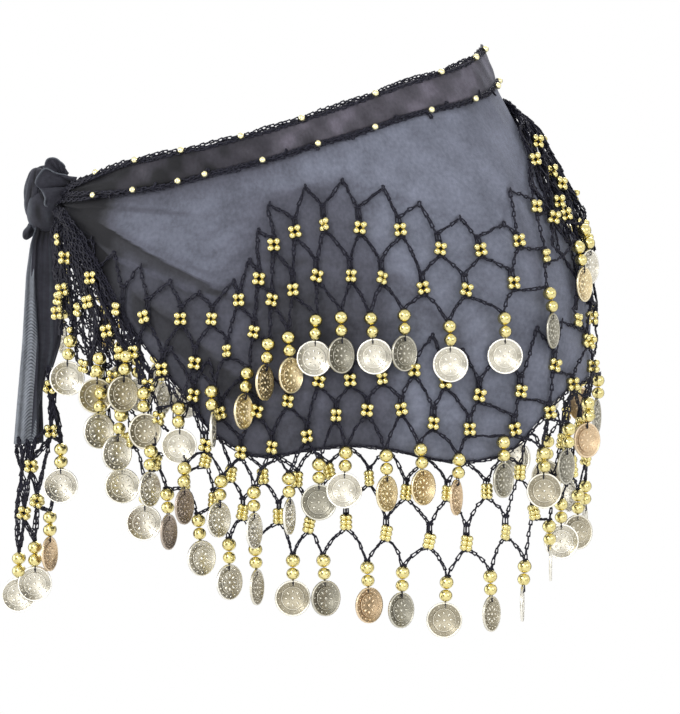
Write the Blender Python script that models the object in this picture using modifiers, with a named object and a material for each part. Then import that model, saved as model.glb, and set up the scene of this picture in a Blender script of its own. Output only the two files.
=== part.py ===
# Belly dance hip scarf: a length of chiffon worn round the hips and tied at the left hip, with three
# crocheted net tiers, their coin rows, and the two knotted ends hanging down.
#
# The wearer's left hip, where the knot is, is at -X and the front is at -Y. The origin is on the hip
# axis at mid height of the tilted waistband. Angles run in degrees from the knot (0) round the front
# (90) to the right hip (180) and round the back (270) to the knot again. Heights and offsets are in
# millimetres in the tables and in metres in the code.

import math

import bmesh
import bpy
import numpy as np
from mathutils import Vector

MM = 0.001
FULL_TURN = 360.0
SEAM_GAP = 0.35 * MM

# Cloth and crochet thicknesses
CHIFFON = 1.2 * MM
CROCHET = 1.2 * MM
STRAND_HALF = 1.7 * MM  # half the width of a crocheted strand's crossing
JOINT_HALF = 3.2 * MM  # half the height of the joint where two strands meet in a point
NET_CLEARANCE = 1.3 * MM  # a net lies this far off the chiffon
KNOT_CLEARANCE = 2.0 * MM  # and this much more at the knot, where the hip curves most
ROW_CLEARANCE = 2.9 * MM  # and a coin row this far, over the net
HEM_GAP = 0.4 * MM
HEM_REACH = 1.5  # degrees to each side of a net's peak that stay below the hem

# A general figure's hips: one row for each level, sections are superellipses
SECTION_POWER = 2.3
HIP_COLUMNS = ("height", "centre", "half_width", "half_depth")
HIP_SECTIONS = (
    (-310, 4.0, 147.0, 112),
    (-160, 4.0, 153.0, 116),
    (-130, 4.0, 154.0, 116),
    (-100, 3.5, 153.5, 114),
    (-70, 2.0, 148.0, 110),
    (-40, -0.5, 136.5, 104),
    (-10, -6.0, 126.0, 96),
    (20, -10.0, 114.0, 88),
    (50, -11.0, 103.0, 80),
    (70, -11.0, 98.0, 76),
)

# The panel's edges: one row for each section. The waistband is alike at the front and the back, and
# the hem climbs round the right hip to a shorter back.
PANEL_COLUMNS = ("angle", "top", "band", "hem", "back_hem")
PANEL_SECTIONS = (
    (4, -34, -41, -54, -54),
    (20, -28, -41, -70, -65),
    (33, -22, -39, -92, -76),
    (44, -18, -37, -129, -85),
    (56, -14, -31, -165, -90),
    (67, -9, -26, -187, -92),
    (78, -4, -21, -191, -94),
    (91, 3, -14, -185, -95),
    (108, 12, -6, -180, -97),
    (123, 21, 3, -187, -101),
    (134, 27, 8, -191, -106),
    (144, 32, 12, -179, -113),
    (156, 39, 18, -154, -122),
    (168, 45.5, 25, -145, -133),
    (180, 48, 29, -142, -142),
)
PANEL_ANGLES = (4, 8, 12, 16, 20, 26, 33, 38, 44, 50, 56, 62, 67, 72, 78, 84, 91, 99, 108, 115, 123,
                128, 134, 139, 144, 150, 156, 162, 168, 174, 180)
PANEL_ROWS = (0.0, 0.12, 0.25, 0.38, 0.52, 0.68, 0.84, 1.0)  # shares of the way from band to hem

# Where the cloth leaves the hip for the knot
KNOT_LIFT = 9 * MM
KNOT_LIFT_REACH = 30.0  # degrees

# Folds that radiate from the knot: direction below level, half width, height and reach
FOLD_ORIGIN_HEIGHT = -44 * MM
FOLD_ARC = 2.44 * MM  # length of one degree at the knot's level
FOLD_START = 30 * MM
FOLD_COLUMNS = ("direction", "half_width", "height", "reach")
FOLDS = (
    (5, 3.0, 1.5, 110),
    (-4, 3.0, 2.0, 130),
    (-13, 4.0, 2.5, 170),
    (-21, 4.0, -1.5, 180),
    (-32, 6.0, 1.2, 200),
)

# Gathers where the cloth goes into the knot
GATHER_HEIGHT = 1.6 * MM
GATHER_WAVES = 3.5
GATHER_REACH = 14.0  # degrees

# The net tiers. One row for each section: the column number, its angle, and the heights of the
# net's points: the peak where it starts, the first and second flower rows, and the coin drop.
TIER_COLUMNS = ("column", "angle", "peak", "first", "second", "drop")
UPPER_TIER = (
    (0, 14, -56, -73, -92, -112),
    (1, 24.5, -70, -90, -113, -129),
    (2, 35.5, -89, -103, -128, -144),
    (3, 46, -95, -110, -139, -158),
    (4, 56, -97, -111, -135, -155),
    (5, 65.5, -86, -104, -128, -142),
    (6, 72.5, -56, -84, -112, -131),
    (7, 77.5, -46, -70, -99, -123),
    (9, 90.5, -38, -61, -86, -110),
    (11, 107, -39, -62, -90, -108),
    (13, 130.5, -56, -73, -95, -112),
    (14, 144, -50, -69, -89, -103),
    (15, 157, -14, -48, -70, -90),
    (17, 180, 4, -16, -42, -64),
)
MIDDLE_TIER = (
    (0, 35.5, -136, -146, -160, -173),
    (1, 46, -147, -157, -174, -191),
    (2, 56, -146, -157, -177, -195),
    (3, 65.5, -141, -164, -184, -202),
    (4, 75, -138, -162, -185, -203),
    (6, 92, -123, -144, -167, -187),
    (8, 109.5, -118, -140, -162, -184),
    (10, 129, -129, -152, -173, -188),
    (12, 151, -115, -138, -163, -183),
    (15, 180, -94, -112, -132, -150),
)
LOWER_TIER = (  # its peaks hang from the hem
    (0, 33, 0, -118, -146, -172),
    (2, 45, 0, -157, -180, -203),
    (4, 59.5, 0, -187, -208, -228),
    (6, 76, 0, -208, -225, -243),
    (8, 96, 0, -203, -227, -246),
    (10, 118, 0, -206, -236, -255),
    (12, 139, 0, -206, -233, -252),
    (13, 149.5, 0, -188, -213, -232),
    (14, 160.5, 0, -172, -194, -212),
    (16, 180, 0, -163, -184, -204),
)

# The same tiers at the back, where they hang shorter, at the front's angles counted from the knot
BACK_COLUMNS = ("column", "peak", "first", "second", "drop")
UPPER_BACK = (
    (0, -56, -69, -83, -97),
    (2, -52, -64, -79, -93),
    (5, -38, -51, -67, -82),
    (9, -26, -40, -57, -72),
    (13, -10, -24, -42, -57),
    (15, 2, -14, -36, -53),
    (17, 4, -16, -42, -64),
)
MIDDLE_BACK = (
    (0, -84, -95, -109, -123),
    (2, -80, -93, -108, -122),
    (4, -76, -90, -106, -120),
    (8, -71, -86, -103, -118),
    (12, -77, -93, -112, -129),
    (15, -94, -112, -132, -150),
)
LOWER_BACK = (
    (0, 0, -94, -112, -130),
    (2, 0, -102, -118, -134),
    (4, 0, -107, -123, -139),
    (8, 0, -112, -128, -144),
    (10, 0, -117, -134, -150),
    (12, 0, -128, -146, -163),
    (14, 0, -147, -167, -185),
    (16, 0, -163, -184, -204),
)
TIERS = {  # each tier's front and back
    "upper": (UPPER_TIER, UPPER_BACK),
    "middle": (MIDDLE_TIER, MIDDLE_BACK),
    "lower": (LOWER_TIER, LOWER_BACK),
}

# A coin drop, from the net's point down: two large beads and a coin
LARGE_BEAD = 8 * MM
COIN_DIAMETER = 20 * MM
COIN_THICKNESS = 1.6 * MM
THREAD = 1.7 * MM
DROP_COLUMNS = ("below", "width", "depth", "forward")
DROP_SECTIONS = (
    (7.0, LARGE_BEAD / MM, LARGE_BEAD / MM, 1.0),
    (14.2, THREAD / MM, THREAD / MM, 0.7),
    (15.2, 0.46 * COIN_DIAMETER / MM, COIN_THICKNESS / MM, 0.7),
    (24.5, COIN_DIAMETER / MM, COIN_THICKNESS / MM, 0.7),
    (33.8, 0.46 * COIN_DIAMETER / MM, COIN_THICKNESS / MM, 0.7),
)
DROP_FORWARD = 3.7 * MM  # a drop that hangs over the cloth stands off it by this much
WIDEST_HEIGHT = -130 * MM  # the hips' widest level, below which a drop hangs free

# Crochet trims with single beads along the waistband
TRIM_WIDTH = 2.8 * MM
TRIM_OUT = 0.6 * MM  # the top trim's foot reaches this far out over the cloth
TRIM_RISE = 0.45 * MM  # and lies this far above its edge
TRIM_HEIGHT = 2.4 * MM
TRIM_BEAD_EVERY = 3  # panel columns
TRIM_BEAD_SCALE = 1.5

# The knot: one row for each lobe, and the tilt of each in degrees round Y
KNOT_COLUMNS = ("x", "y", "z", "length", "depth", "height", "tilt", "ridges")
KNOT_LOBES = {
    "wrap": (-158.5, 0, -43, 20, 34, 26, 0, 5),
    "upper_loop": (-150, -4, -28, 15, 20, 18, 35, 3),
    "lower_loop": (-159, -6, -54, 17, 17, 20, -15, 3),
    "side_lobe": (-165, 2, -42, 12, 26, 34, 12, 4),
    "tab": (-167.5, -4, -58, 7, 12, 16, 20, 2),
}
KNOT_AROUND = 12
KNOT_LEVELS = 7
RIDGE_DEPTH = 0.06

# The two ends hanging from the knot, pleated flat: one row for each level
TAIL_COLUMNS = ("z", "centre", "half_width", "half_depth")
TAIL_SECTIONS = (
    (-68.5, -160.5, 5.0, 5.5),
    (-85, -161.5, 7.0, 7.0),
    (-125, -162.5, 8.5, 8.5),
    (-160, -166.0, 7.5, 8.5),
    (-181, -168.5, 7.0, 9.0),
)
TAIL_PLEATS = 4
TAILS = {"front": -10 * MM, "back": 10 * MM}  # each end's middle, along Y
STUB_TOP = (-48, -159, 3.0, 3.0)  # where an end leaves the knot, in the columns above
STUB_GAP = 0.3  # between the knot and the end below it, in millimetres

# The net and coins at each end
TAIL_NET_COLUMNS = ("column", "x", "foot_x", "peak", "first", "second", "drop")
TAIL_NET = (
    (0, -175, -179, -184.6, -203, -222, -242),
    (1, -168.5, -170, -184.6, -203, -222, -240),
    (2, -162.5, -160, -184.6, -200, -214, -228),
    (3, -157, -149, -166, -175, -186, -196),
)
TAIL_NET_SPREAD = {"peak": 0.0, "first": 0.4, "second": 0.7, "drop": 1.0}
TAIL_NET_BOW = 4 * MM

CLOTH_BLACK = (0.13, 0.14, 0.19, 1)
BAND_BLACK = (0.09, 0.08, 0.11, 1)
CROCHET_BLACK = (0.015, 0.014, 0.028, 1)
COIN_GOLD = (0.74, 0.63, 0.38, 1)


def table(columns, rows):
    """The table's columns as arrays, by name."""
    return dict(zip(columns, np.array(rows, float).T))


HIP = table(HIP_COLUMNS, HIP_SECTIONS)
PANEL = table(PANEL_COLUMNS, PANEL_SECTIONS)


def smoothstep(share):
    share = min(max(share, 0.0), 1.0)
    return share * share * (3 - 2 * share)


def from_knot(angle):
    """The angle from the knot, counted the shorter way round."""
    return min(angle % FULL_TURN, FULL_TURN - angle % FULL_TURN)


def panel_edge(edge, angle):
    """The height of one of the panel's edges: top, band or hem."""
    if edge == "hem" and angle % FULL_TURN > FULL_TURN / 2:
        edge = "back_hem"
    return np.interp(from_knot(angle), PANEL["angle"], PANEL[edge]) * MM


def fold_height(angle, height):
    """How far the folds that radiate from the knot raise the cloth."""
    along = FOLD_ARC * from_knot(angle)
    rise = height - FOLD_ORIGIN_HEIGHT
    distance = math.hypot(along, rise)
    direction = math.degrees(math.atan2(rise, max(along, 1e-6)))
    total = 0.0
    for row in FOLDS:
        fold = dict(zip(FOLD_COLUMNS, row))
        across = math.exp(-(((direction - fold["direction"]) / fold["half_width"]) ** 2))
        fade = smoothstep(distance / FOLD_START) * (1 - smoothstep(distance / (fold["reach"] * MM)))
        total += fold["height"] * MM * across * fade
    return total


def section_radius(angle, height, out):
    """The hip section's radius at this angle, its half sizes grown by out."""
    level = height / MM
    half_width = np.interp(level, HIP["height"], HIP["half_width"]) * MM + out
    half_depth = np.interp(level, HIP["height"], HIP["half_depth"]) * MM + out
    across = abs(math.cos(math.radians(angle)) / half_width) ** SECTION_POWER
    along = abs(math.sin(math.radians(angle)) / half_depth) ** SECTION_POWER
    return (across + along) ** (-1 / SECTION_POWER)


def hip_point(angle, height, out=0.0):
    """The point of the cloth's outer face at this angle and height, moved out by out."""
    lift = KNOT_LIFT * (1 - smoothstep(from_knot(angle) / KNOT_LIFT_REACH))
    radius = section_radius(angle, height, out + lift + fold_height(angle, height))
    centre = np.interp(height / MM, HIP["height"], HIP["centre"]) * MM
    turn = math.radians(angle)
    return (centre - radius * math.cos(turn), -radius * math.sin(turn), height)


def all_round(angles):
    """The front's angles, then the same ones back round to the knot."""
    return list(angles) + [FULL_TURN - angle for angle in reversed(angles) if angle < FULL_TURN / 2]


def collection(name):
    made = bpy.data.collections.new(name)
    bpy.context.scene.collection.children.link(made)
    return made


def material(name, colour, roughness, metallic=0.0):
    made = bpy.data.materials.new(name)
    made.use_nodes = True
    shader = made.node_tree.nodes["Principled BSDF"]
    shader.inputs["Base Color"].default_value = colour
    shader.inputs["Roughness"].default_value = roughness
    shader.inputs["Metallic"].default_value = metallic
    return made


def add_object(name, bm, home, finish, smooth=True):
    """Makes the node from a bmesh, with its faces turned out."""
    bmesh.ops.recalc_face_normals(bm, faces=bm.faces)
    mesh = bpy.data.meshes.new(name)
    bm.to_mesh(mesh)
    bm.free()
    if smooth:
        mesh.shade_smooth()
    mesh.materials.append(finish)
    made = bpy.data.objects.new(name, mesh)
    home.objects.link(made)
    return made


def solidify(made, thickness, offset):
    shell = made.modifiers.new("wall", "SOLIDIFY")
    shell.thickness = thickness
    shell.offset = offset


def placed_grid(columns, rows, place):
    """A grid whose points go where place(column, row) says."""
    bm = bmesh.new()
    bmesh.ops.create_grid(bm, x_segments=columns - 1, y_segments=rows - 1, size=1)
    for vert in bm.verts:
        column = round((vert.co.x + 1) / 2 * (columns - 1))
        row = round((1 - vert.co.y) / 2 * (rows - 1))
        vert.co = place(column, row)
    return bm


def loft(bm, sections):
    """Closed rings of equal count joined in order, with flat ends."""
    rings = [[bm.verts.new(point) for point in section] for section in sections]
    join_rings(bm, rings)
    bm.faces.new(rings[0])
    bm.faces.new(rings[-1])


def join_rings(bm, rings):
    for first, second in zip(rings, rings[1:]):
        for side in range(len(first)):
            after = (side + 1) % len(first)
            bm.faces.new((first[side], first[after], second[after], second[side]))


def build_panel(home, finish):
    angles = all_round(PANEL_ANGLES)

    def place(column, row):
        angle = angles[column]
        top, band, hem = (panel_edge(edge, angle) for edge in ("top", "band", "hem"))
        height = top if row == 0 else band + (hem - band) * PANEL_ROWS[row - 1]
        share = (top - height) / (top - hem)
        gather = GATHER_HEIGHT * (1 - smoothstep(from_knot(angle) / GATHER_REACH))
        ripple = gather * math.cos(2 * math.pi * GATHER_WAVES * share) if row > 1 else 0.0
        return hip_point(angle, height, ripple)

    bm = placed_grid(len(angles), len(PANEL_ROWS) + 1, place)
    made = add_object("scarf_panel", bm, home, finish)
    solidify(made, CHIFFON, offset=facing_inwards(made))


def facing_inwards(made):
    """The Solidify offset that grows this open surface towards the hip axis."""
    face = made.data.polygons[len(made.data.polygons) // 2]
    outwards = face.normal.dot(face.center) > 0
    return -1 if outwards else 1


def build_waistband(home, finish):
    angles = all_round(PANEL_ANGLES)
    edges = ("top", "band")

    def place(column, row):
        angle = angles[column]
        return hip_point(angle, panel_edge(edges[row], angle), SEAM_GAP + CHIFFON)

    made = add_object("waistband", placed_grid(len(angles), 2, place), home, finish)
    solidify(made, CHIFFON, offset=facing_inwards(made))


def build_trim(name, edge, corners, home, finish):
    """A crochet cord of three sides along an edge; corners gives each corner's out and rise."""
    bm = bmesh.new()
    sections = []
    for number, angle in enumerate(all_round(PANEL_ANGLES)):
        scale = TRIM_BEAD_SCALE if number % TRIM_BEAD_EVERY == 1 else 1.0
        height = panel_edge(edge, angle)
        sections.append([hip_point(angle, height + corner["rise"] * corner_scale(corner, scale),
                                   corner["base"] + corner["out"] * scale) for corner in corners])
    loft(bm, sections)
    add_object(name, bm, home, finish)


def corner_scale(corner, scale):
    """A bead widens the cord away from its seat only."""
    return scale if corner["free"] else 1.0


def below_hem(angle):
    """The height of a net's peak that hangs just under the hem."""
    around = (angle - HEM_REACH, angle, angle + HEM_REACH)
    return min(panel_edge("hem", near) for near in around) - HEM_GAP - JOINT_HALF


def tier_nodes(tier):
    """A function that gives the angle and the height for a column number, on to the back."""
    front = table(TIER_COLUMNS, TIERS[tier][0])
    back = table(BACK_COLUMNS, TIERS[tier][1])
    last = front["column"][-1]

    def at(column, row):
        at_back = column > last
        side = back if at_back else front
        number = 2 * last - column if at_back else column
        angle = np.interp(number, front["column"], front["angle"])
        if at_back:
            angle = FULL_TURN - angle
        if row == "peak" and tier == "lower":
            return angle, below_hem(angle)
        return angle, np.interp(number, side["column"], side[row]) * MM

    return at, int(last)


class Wall:
    """A flat-laid openwork wall: faces on two skins, joined by walls along their free edges."""

    def __init__(self, place):
        self.bm = bmesh.new()
        self.place = place
        self.points = {}
        self.faces = []

    def point(self, key, along, height):
        """A named point of both skins: (inner, outer)."""
        if key not in self.points:
            self.points[key] = [self.bm.verts.new(self.place(along, height, skin)) for skin in (0, 1)]
        return key

    def face(self, *keys):
        self.faces.append(keys)

    def close(self, left_open=()):
        """Both skins and the walls between them; returns the rings of the edges left open."""
        seen = {}
        for keys in self.faces:
            for skin in (0, 1):
                self.bm.faces.new([self.points[key][skin] for key in keys])
            for first, second in zip(keys, keys[1:] + keys[:1]):
                edge = frozenset((first, second))
                seen[edge] = seen.get(edge, 0) + 1
        rings = []
        for edge, count in seen.items():
            first, second = sorted(edge, key=str)
            ring = [self.points[first][0], self.points[second][0], self.points[second][1],
                    self.points[first][1]]
            if count == 1 and edge in left_open:
                rings.append(ring)
            elif count == 1:
                self.bm.faces.new(ring)
        return rings


def crossing(wall, at, row, column, half, whole):
    """The corners of a net's crossing, or the upright joint of a point where only two strands meet."""
    along, height = at(column, row)
    rise = STRAND_HALF if whole else JOINT_HALF
    return {
        "open": whole,
        "left": wall.point((row, column, "left"), along - half, height),
        "right": wall.point((row, column, "right"), along + half, height),
        "up": wall.point((row, column, "up"), along, height + rise),
        "down": wall.point((row, column, "down"), along, height - rise),
    }


def strand(wall, upper, lower, side):
    """A strand from the upper crossing down to the lower one, on its right or left side."""
    other = "left" if side == "right" else "right"
    start = (upper[side], upper["down"]) if upper["open"] else (upper["up"], upper["down"])
    end = (lower[other], lower["up"]) if lower["open"] else (lower["down"], lower["up"])
    wall.face(start[0], start[1], end[0], end[1])


def net(wall, at, rows, columns, half):
    """Joins crossings of neighbouring rows by strands. rows gives each row's name and half step."""
    levels = []
    for number, (row, shift) in enumerate(rows):
        whole = 0 < number < len(rows) - 1
        level = {}
        for step in range(columns + 1 - (1 if shift else 0)):
            column = step + shift
            corners = crossing(wall, at, row, column, half, whole)
            if whole:
                wall.face(corners["left"], corners["down"], corners["right"], corners["up"])
            level[column] = corners
        levels.append(level)
    for upper, lower in zip(levels, levels[1:]):
        for column, corners in upper.items():
            for side, shift in (("right", 0.5), ("left", -0.5)):
                if column + shift in lower:
                    strand(wall, corners, lower[column + shift], side)
    return levels


def remove_loose(bm):
    loose = [vert for vert in bm.verts if not vert.link_faces]
    bmesh.ops.delete(bm, geom=loose, context="VERTS")


def extra_clearance(angle):
    return KNOT_CLEARANCE * (1 - smoothstep(from_knot(angle) / KNOT_LIFT_REACH))


def ring_place(clearance):
    """The two skins of a crocheted wall round the hips."""
    def place(angle, height, skin):
        out = clearance + extra_clearance(angle) + skin * CROCHET
        return hip_point(angle, height, out)
    return place


def build_tier_net(name, tier, first_shift, clearance, home, finish, span=None):
    """A tier's net: peaks, first flowers and second flowers, round the hips or over a span."""
    at, last = tier_nodes(tier)
    other = 0.5 - first_shift
    wall = Wall(ring_place(clearance))
    named_rows = (("peak", first_shift), ("first", other), ("second", first_shift))
    start, stop = span or (0, 2 * last)
    net(wall, lambda column, row: at(column + start, row), named_rows, stop - start,
        STRAND_HALF / FOLD_ARC)
    wall.close()
    remove_loose(wall.bm)
    add_object(name, wall.bm, home, finish)


def drop(bm, ring, hang):
    """A coin drop from the open ring at a net's point: beads, thread and coin, all of four sides."""
    base = sum((vert.co for vert in ring), Vector()) / len(ring)
    for row in DROP_SECTIONS:
        section = dict(zip(DROP_COLUMNS, row))
        centre, outwards, sideways = hang(base, section)
        half_width = sideways * section["width"] * MM / 2
        half_depth = outwards * section["depth"] * MM / 2
        if row == DROP_SECTIONS[0]:
            rings = [corners_in_order(ring, base, outwards, sideways)]
        corners = (centre - half_width - half_depth, centre + half_width - half_depth,
                   centre + half_width + half_depth, centre - half_width + half_depth)
        rings.append([bm.verts.new(corner) for corner in corners])
    join_rings(bm, rings)
    bm.faces.new(rings[-1])


def coin_row(wall, at, hang, peaks, drops, half):
    """The last zigzag of a net with a coin drop at each lower point."""
    tops = {column: crossing(wall, at, "second", column, half, False) for column in peaks}
    open_edges = set()
    for column in drops:
        along, height = at(column, "drop")
        key = ("drop", column)
        corners = {
            "left": wall.point(key + ("left",), along - half, height),
            "right": wall.point(key + ("right",), along + half, height),
            "up": wall.point(key + ("up",), along, height + STRAND_HALF),
            "foot_left": wall.point(key + ("foot_left",), along - half / 2, height - STRAND_HALF),
            "foot_right": wall.point(key + ("foot_right",), along + half / 2, height - STRAND_HALF),
            "open": True,
        }
        wall.face(corners["left"], corners["foot_left"], corners["foot_right"], corners["right"],
                  corners["up"])
        open_edges.add(frozenset((corners["foot_left"], corners["foot_right"])))
        for side, shift in (("right", -0.5), ("left", 0.5)):
            if column + shift in tops:
                strand(wall, tops[column + shift], corners, side)
    for ring in wall.close(left_open=open_edges):
        drop(wall.bm, ring, hang)
    remove_loose(wall.bm)


def corners_in_order(ring, centre, outwards, sideways):
    """The ring's corners turned from the inner left one, as a drop's sections are."""
    def turn(vert):
        offset = vert.co - centre
        return math.atan2(offset.dot(outwards), offset.dot(sideways))
    return sorted(ring, key=turn)


def hip_axes(angle, height):
    """Level axes at a point of the hips: outwards, and along the cloth."""
    step = 1.0
    along = Vector(hip_point(angle + step, height)) - Vector(hip_point(angle - step, height))
    along.z = 0
    along.normalize()
    return Vector((along.y, -along.x, 0)), along


def hip_hang(clearance, forward):
    """Hangs a drop from a net on the hips: against the cloth, or free below the widest level."""
    def hang(base, section):
        height = base.z - section["below"] * MM
        rest = max(height, min(base.z, WIDEST_HEIGHT))
        centre_x = np.interp(base.z / MM, HIP["height"], HIP["centre"]) * MM
        angle = math.degrees(math.atan2(-base.y, centre_x - base.x)) % FULL_TURN
        out = clearance + extra_clearance(angle) + CROCHET / 2 + forward * section["forward"]
        centre = Vector(hip_point(angle, rest, out))
        centre.z = height
        return (centre, *hip_axes(angle, rest))
    return hang


def build_coin_row(name, tier, peak_shift, clearance, forward, home, finish):
    at, last = tier_nodes(tier)
    columns = 2 * last
    shifts = {0: range(columns + 1), 0.5: range(columns)}
    peaks = [step + peak_shift for step in shifts[peak_shift]]
    drops = [step + 0.5 - peak_shift for step in shifts[0.5 - peak_shift]]
    wall = Wall(ring_place(clearance))
    coin_row(wall, at, hip_hang(clearance, forward), peaks, drops, STRAND_HALF / FOLD_ARC)
    add_object(name, wall.bm, home, finish)


def lobe(name, home, finish):
    """One puffed lobe of the knot, with ridges that run from end to end."""
    size = dict(zip(KNOT_COLUMNS, KNOT_LOBES[name]))
    bm = bmesh.new()
    bmesh.ops.create_uvsphere(bm, u_segments=KNOT_AROUND, v_segments=KNOT_LEVELS, radius=0.5 * MM)
    tilt = math.radians(size["tilt"])
    for vert in bm.verts:
        turn = math.atan2(vert.co.y, vert.co.x)
        ridge = 1 + RIDGE_DEPTH * math.cos(size["ridges"] * turn)
        x = vert.co.x * size["length"] * ridge
        y = vert.co.y * size["depth"] * ridge
        z = vert.co.z * size["height"]
        vert.co = (size["x"] * MM + x * math.cos(tilt) + z * math.sin(tilt),
                   size["y"] * MM + y,
                   size["z"] * MM - x * math.sin(tilt) + z * math.cos(tilt))
    return add_object("knot_" + name, bm, home, finish)


def stub(side, home, finish):
    """The part of the knot that an end hangs from, flat below."""
    bm = bmesh.new()
    z, *sizes = TAIL_SECTIONS[0]
    sections = []
    for (level, centre, wide, deep), share in ((STUB_TOP, 0.5), ((z + STUB_GAP, *sizes), 1.0)):
        middle = TAILS[side] / MM * share
        corners = ((-wide, -deep), (wide, -deep), (wide, deep), (-wide, deep))
        sections.append([((centre + across) * MM, (middle + along) * MM, level * MM)
                         for across, along in corners])
    loft(bm, sections)
    return add_object("knot_stub_" + side, bm, home, finish, smooth=False)


def build_knot(home, helpers, finish):
    """The lobes of the knot, and the stubs below them, joined into one bunch."""
    names = list(KNOT_LOBES)
    knot = lobe(names[0], home, finish)
    knot.name = "knot"
    parts = [lobe(name, helpers, finish) for name in names[1:]]
    parts += [stub(side, helpers, finish) for side in TAILS]
    for part in parts:
        part.hide_render = True
        part.display_type = "WIRE"
        join = knot.modifiers.new("join " + part.name, "BOOLEAN")
        join.operation = "UNION"
        join.solver = "EXACT"
        join.object = part


def build_tail(side, home, finish):
    """An end of the scarf, pleated flat as it hangs from the knot."""
    tail = table(TAIL_COLUMNS, TAIL_SECTIONS)
    middle = TAILS[side]
    columns = 2 * TAIL_PLEATS + 1

    def place(column, row):
        swing = (1, 0, -1, 0)[column % 4]
        x = tail["centre"][row] + tail["half_width"][row] * swing
        y = (2 * column / (columns - 1) - 1) * tail["half_depth"][row]
        return (x * MM, middle + y * MM, tail["z"][row] * MM)

    bm = placed_grid(columns, len(TAIL_SECTIONS), place)
    made = add_object("tail_" + side, bm, home, finish)
    solidify(made, CHIFFON, offset=0)


def tail_place(side):
    """The skins of the small net at an end: a sheet bowed round the tail's foot."""
    middle = TAILS[side]
    outwards = -1 if side == "front" else 1
    feet = table(TAIL_NET_COLUMNS, TAIL_NET)["foot_x"]
    centre = (feet[0] + feet[-1]) / 2 * MM
    half = (feet[-1] - feet[0]) / 2 * MM

    def place(along, height, skin):
        share = (along - centre) / half
        bow = TAIL_NET_BOW * (1 - share * share)
        return (along, middle + outwards * (bow + (CROCHET if skin else 0.0)), height)

    return place, outwards


def tail_at(column, row):
    tail_net = table(TAIL_NET_COLUMNS, TAIL_NET)
    x, foot, height = (np.interp(column, tail_net["column"], tail_net[name]) * MM
                       for name in ("x", "foot_x", row))
    return x + (foot - x) * TAIL_NET_SPREAD[row], height


def build_tail_net(side, home, finish):
    place, _ = tail_place(side)
    wall = Wall(place)
    last = TAIL_NET[-1][0]
    net(wall, tail_at, (("peak", 0), ("first", 0.5), ("second", 0)), last, STRAND_HALF)
    wall.close()
    remove_loose(wall.bm)
    add_object("tail_net_" + side, wall.bm, home, finish)


def build_tail_coins(side, home, finish):
    place, outwards = tail_place(side)
    shift = outwards * (CROCHET + SEAM_GAP)

    def moved(along, height, skin):
        x, y, z = place(along, height, skin)
        return (x, y + shift, z)

    wall = Wall(moved)
    last = TAIL_NET[-1][0]
    axes = (Vector((0, outwards, 0)), Vector((-outwards, 0, 0)))

    def hang(base, section):
        below = Vector((0, 0, section["below"] * MM))
        return (base - below + axes[0] * DROP_FORWARD * section["forward"], *axes)

    coin_row(wall, tail_at, hang, range(last + 1), [step + 0.5 for step in range(last)], STRAND_HALF)
    add_object("tail_coins_" + side, wall.bm, home, finish)


def main():
    for old in list(bpy.data.objects):
        bpy.data.objects.remove(old)
    home = collection("hip_scarf")
    helpers = collection("cutters")
    chiffon = material("chiffon", CLOTH_BLACK, 0.85)
    double = material("double chiffon", BAND_BLACK, 0.85)
    crochet = material("crochet", CROCHET_BLACK, 0.7)
    gold = material("gold", COIN_GOLD, 0.3, metallic=1.0)

    build_panel(home, chiffon)
    build_waistband(home, double)
    top_corners = (
        {"base": -CHIFFON, "out": 0.0, "rise": TRIM_RISE, "free": False},
        {"base": CHIFFON, "out": TRIM_OUT, "rise": TRIM_RISE, "free": False},
        {"base": 0.0, "out": 0.0, "rise": TRIM_HEIGHT + SEAM_GAP, "free": True},
    )
    band_corners = (
        {"base": 2 * SEAM_GAP, "out": 0.0, "rise": -SEAM_GAP, "free": False},
        {"base": 2 * SEAM_GAP, "out": 0.0, "rise": -SEAM_GAP - TRIM_WIDTH, "free": False},
        {"base": 2 * SEAM_GAP, "out": TRIM_HEIGHT, "rise": -SEAM_GAP - TRIM_WIDTH / 2, "free": False},
    )
    build_trim("trim_top", "top", top_corners, home, crochet)
    build_trim("trim_band", "band", band_corners, home, crochet)

    build_tier_net("net_upper", "upper", 0, NET_CLEARANCE, home, crochet)
    build_tier_net("net_middle", "middle", 0.5, NET_CLEARANCE, home, crochet)
    hip = LOWER_TIER[-1][0]
    build_tier_net("net_lower_front", "lower", 0, -CROCHET, home, crochet, span=(0, hip))
    build_tier_net("net_lower_back", "lower", 0, -CROCHET, home, crochet, span=(hip, 2 * hip))

    build_coin_row("coins_upper", "upper", 0, ROW_CLEARANCE, DROP_FORWARD, home, gold)
    build_coin_row("coins_middle", "middle", 0.5, ROW_CLEARANCE, DROP_FORWARD, home, gold)
    behind_net = -2 * CROCHET - SEAM_GAP
    build_coin_row("coins_lower", "lower", 0, behind_net, 0.0, home, gold)

    build_knot(home, helpers, double)
    for side in TAILS:
        build_tail(side, home, chiffon)
        build_tail_net(side, home, crochet)
        build_tail_coins(side, home, gold)


main()
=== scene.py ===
# Belly dance hip scarf: the chiffon, crochet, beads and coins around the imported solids.
# The knot is at -X and the front at -Y. Angles are degrees from the knot (0) round the front (90) to
# the right hip (180) and on round the back. Tables are in millimetres, and meshes in metres.

import math
import random

import bpy
import numpy as np
from mathutils import Matrix, Vector


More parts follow.
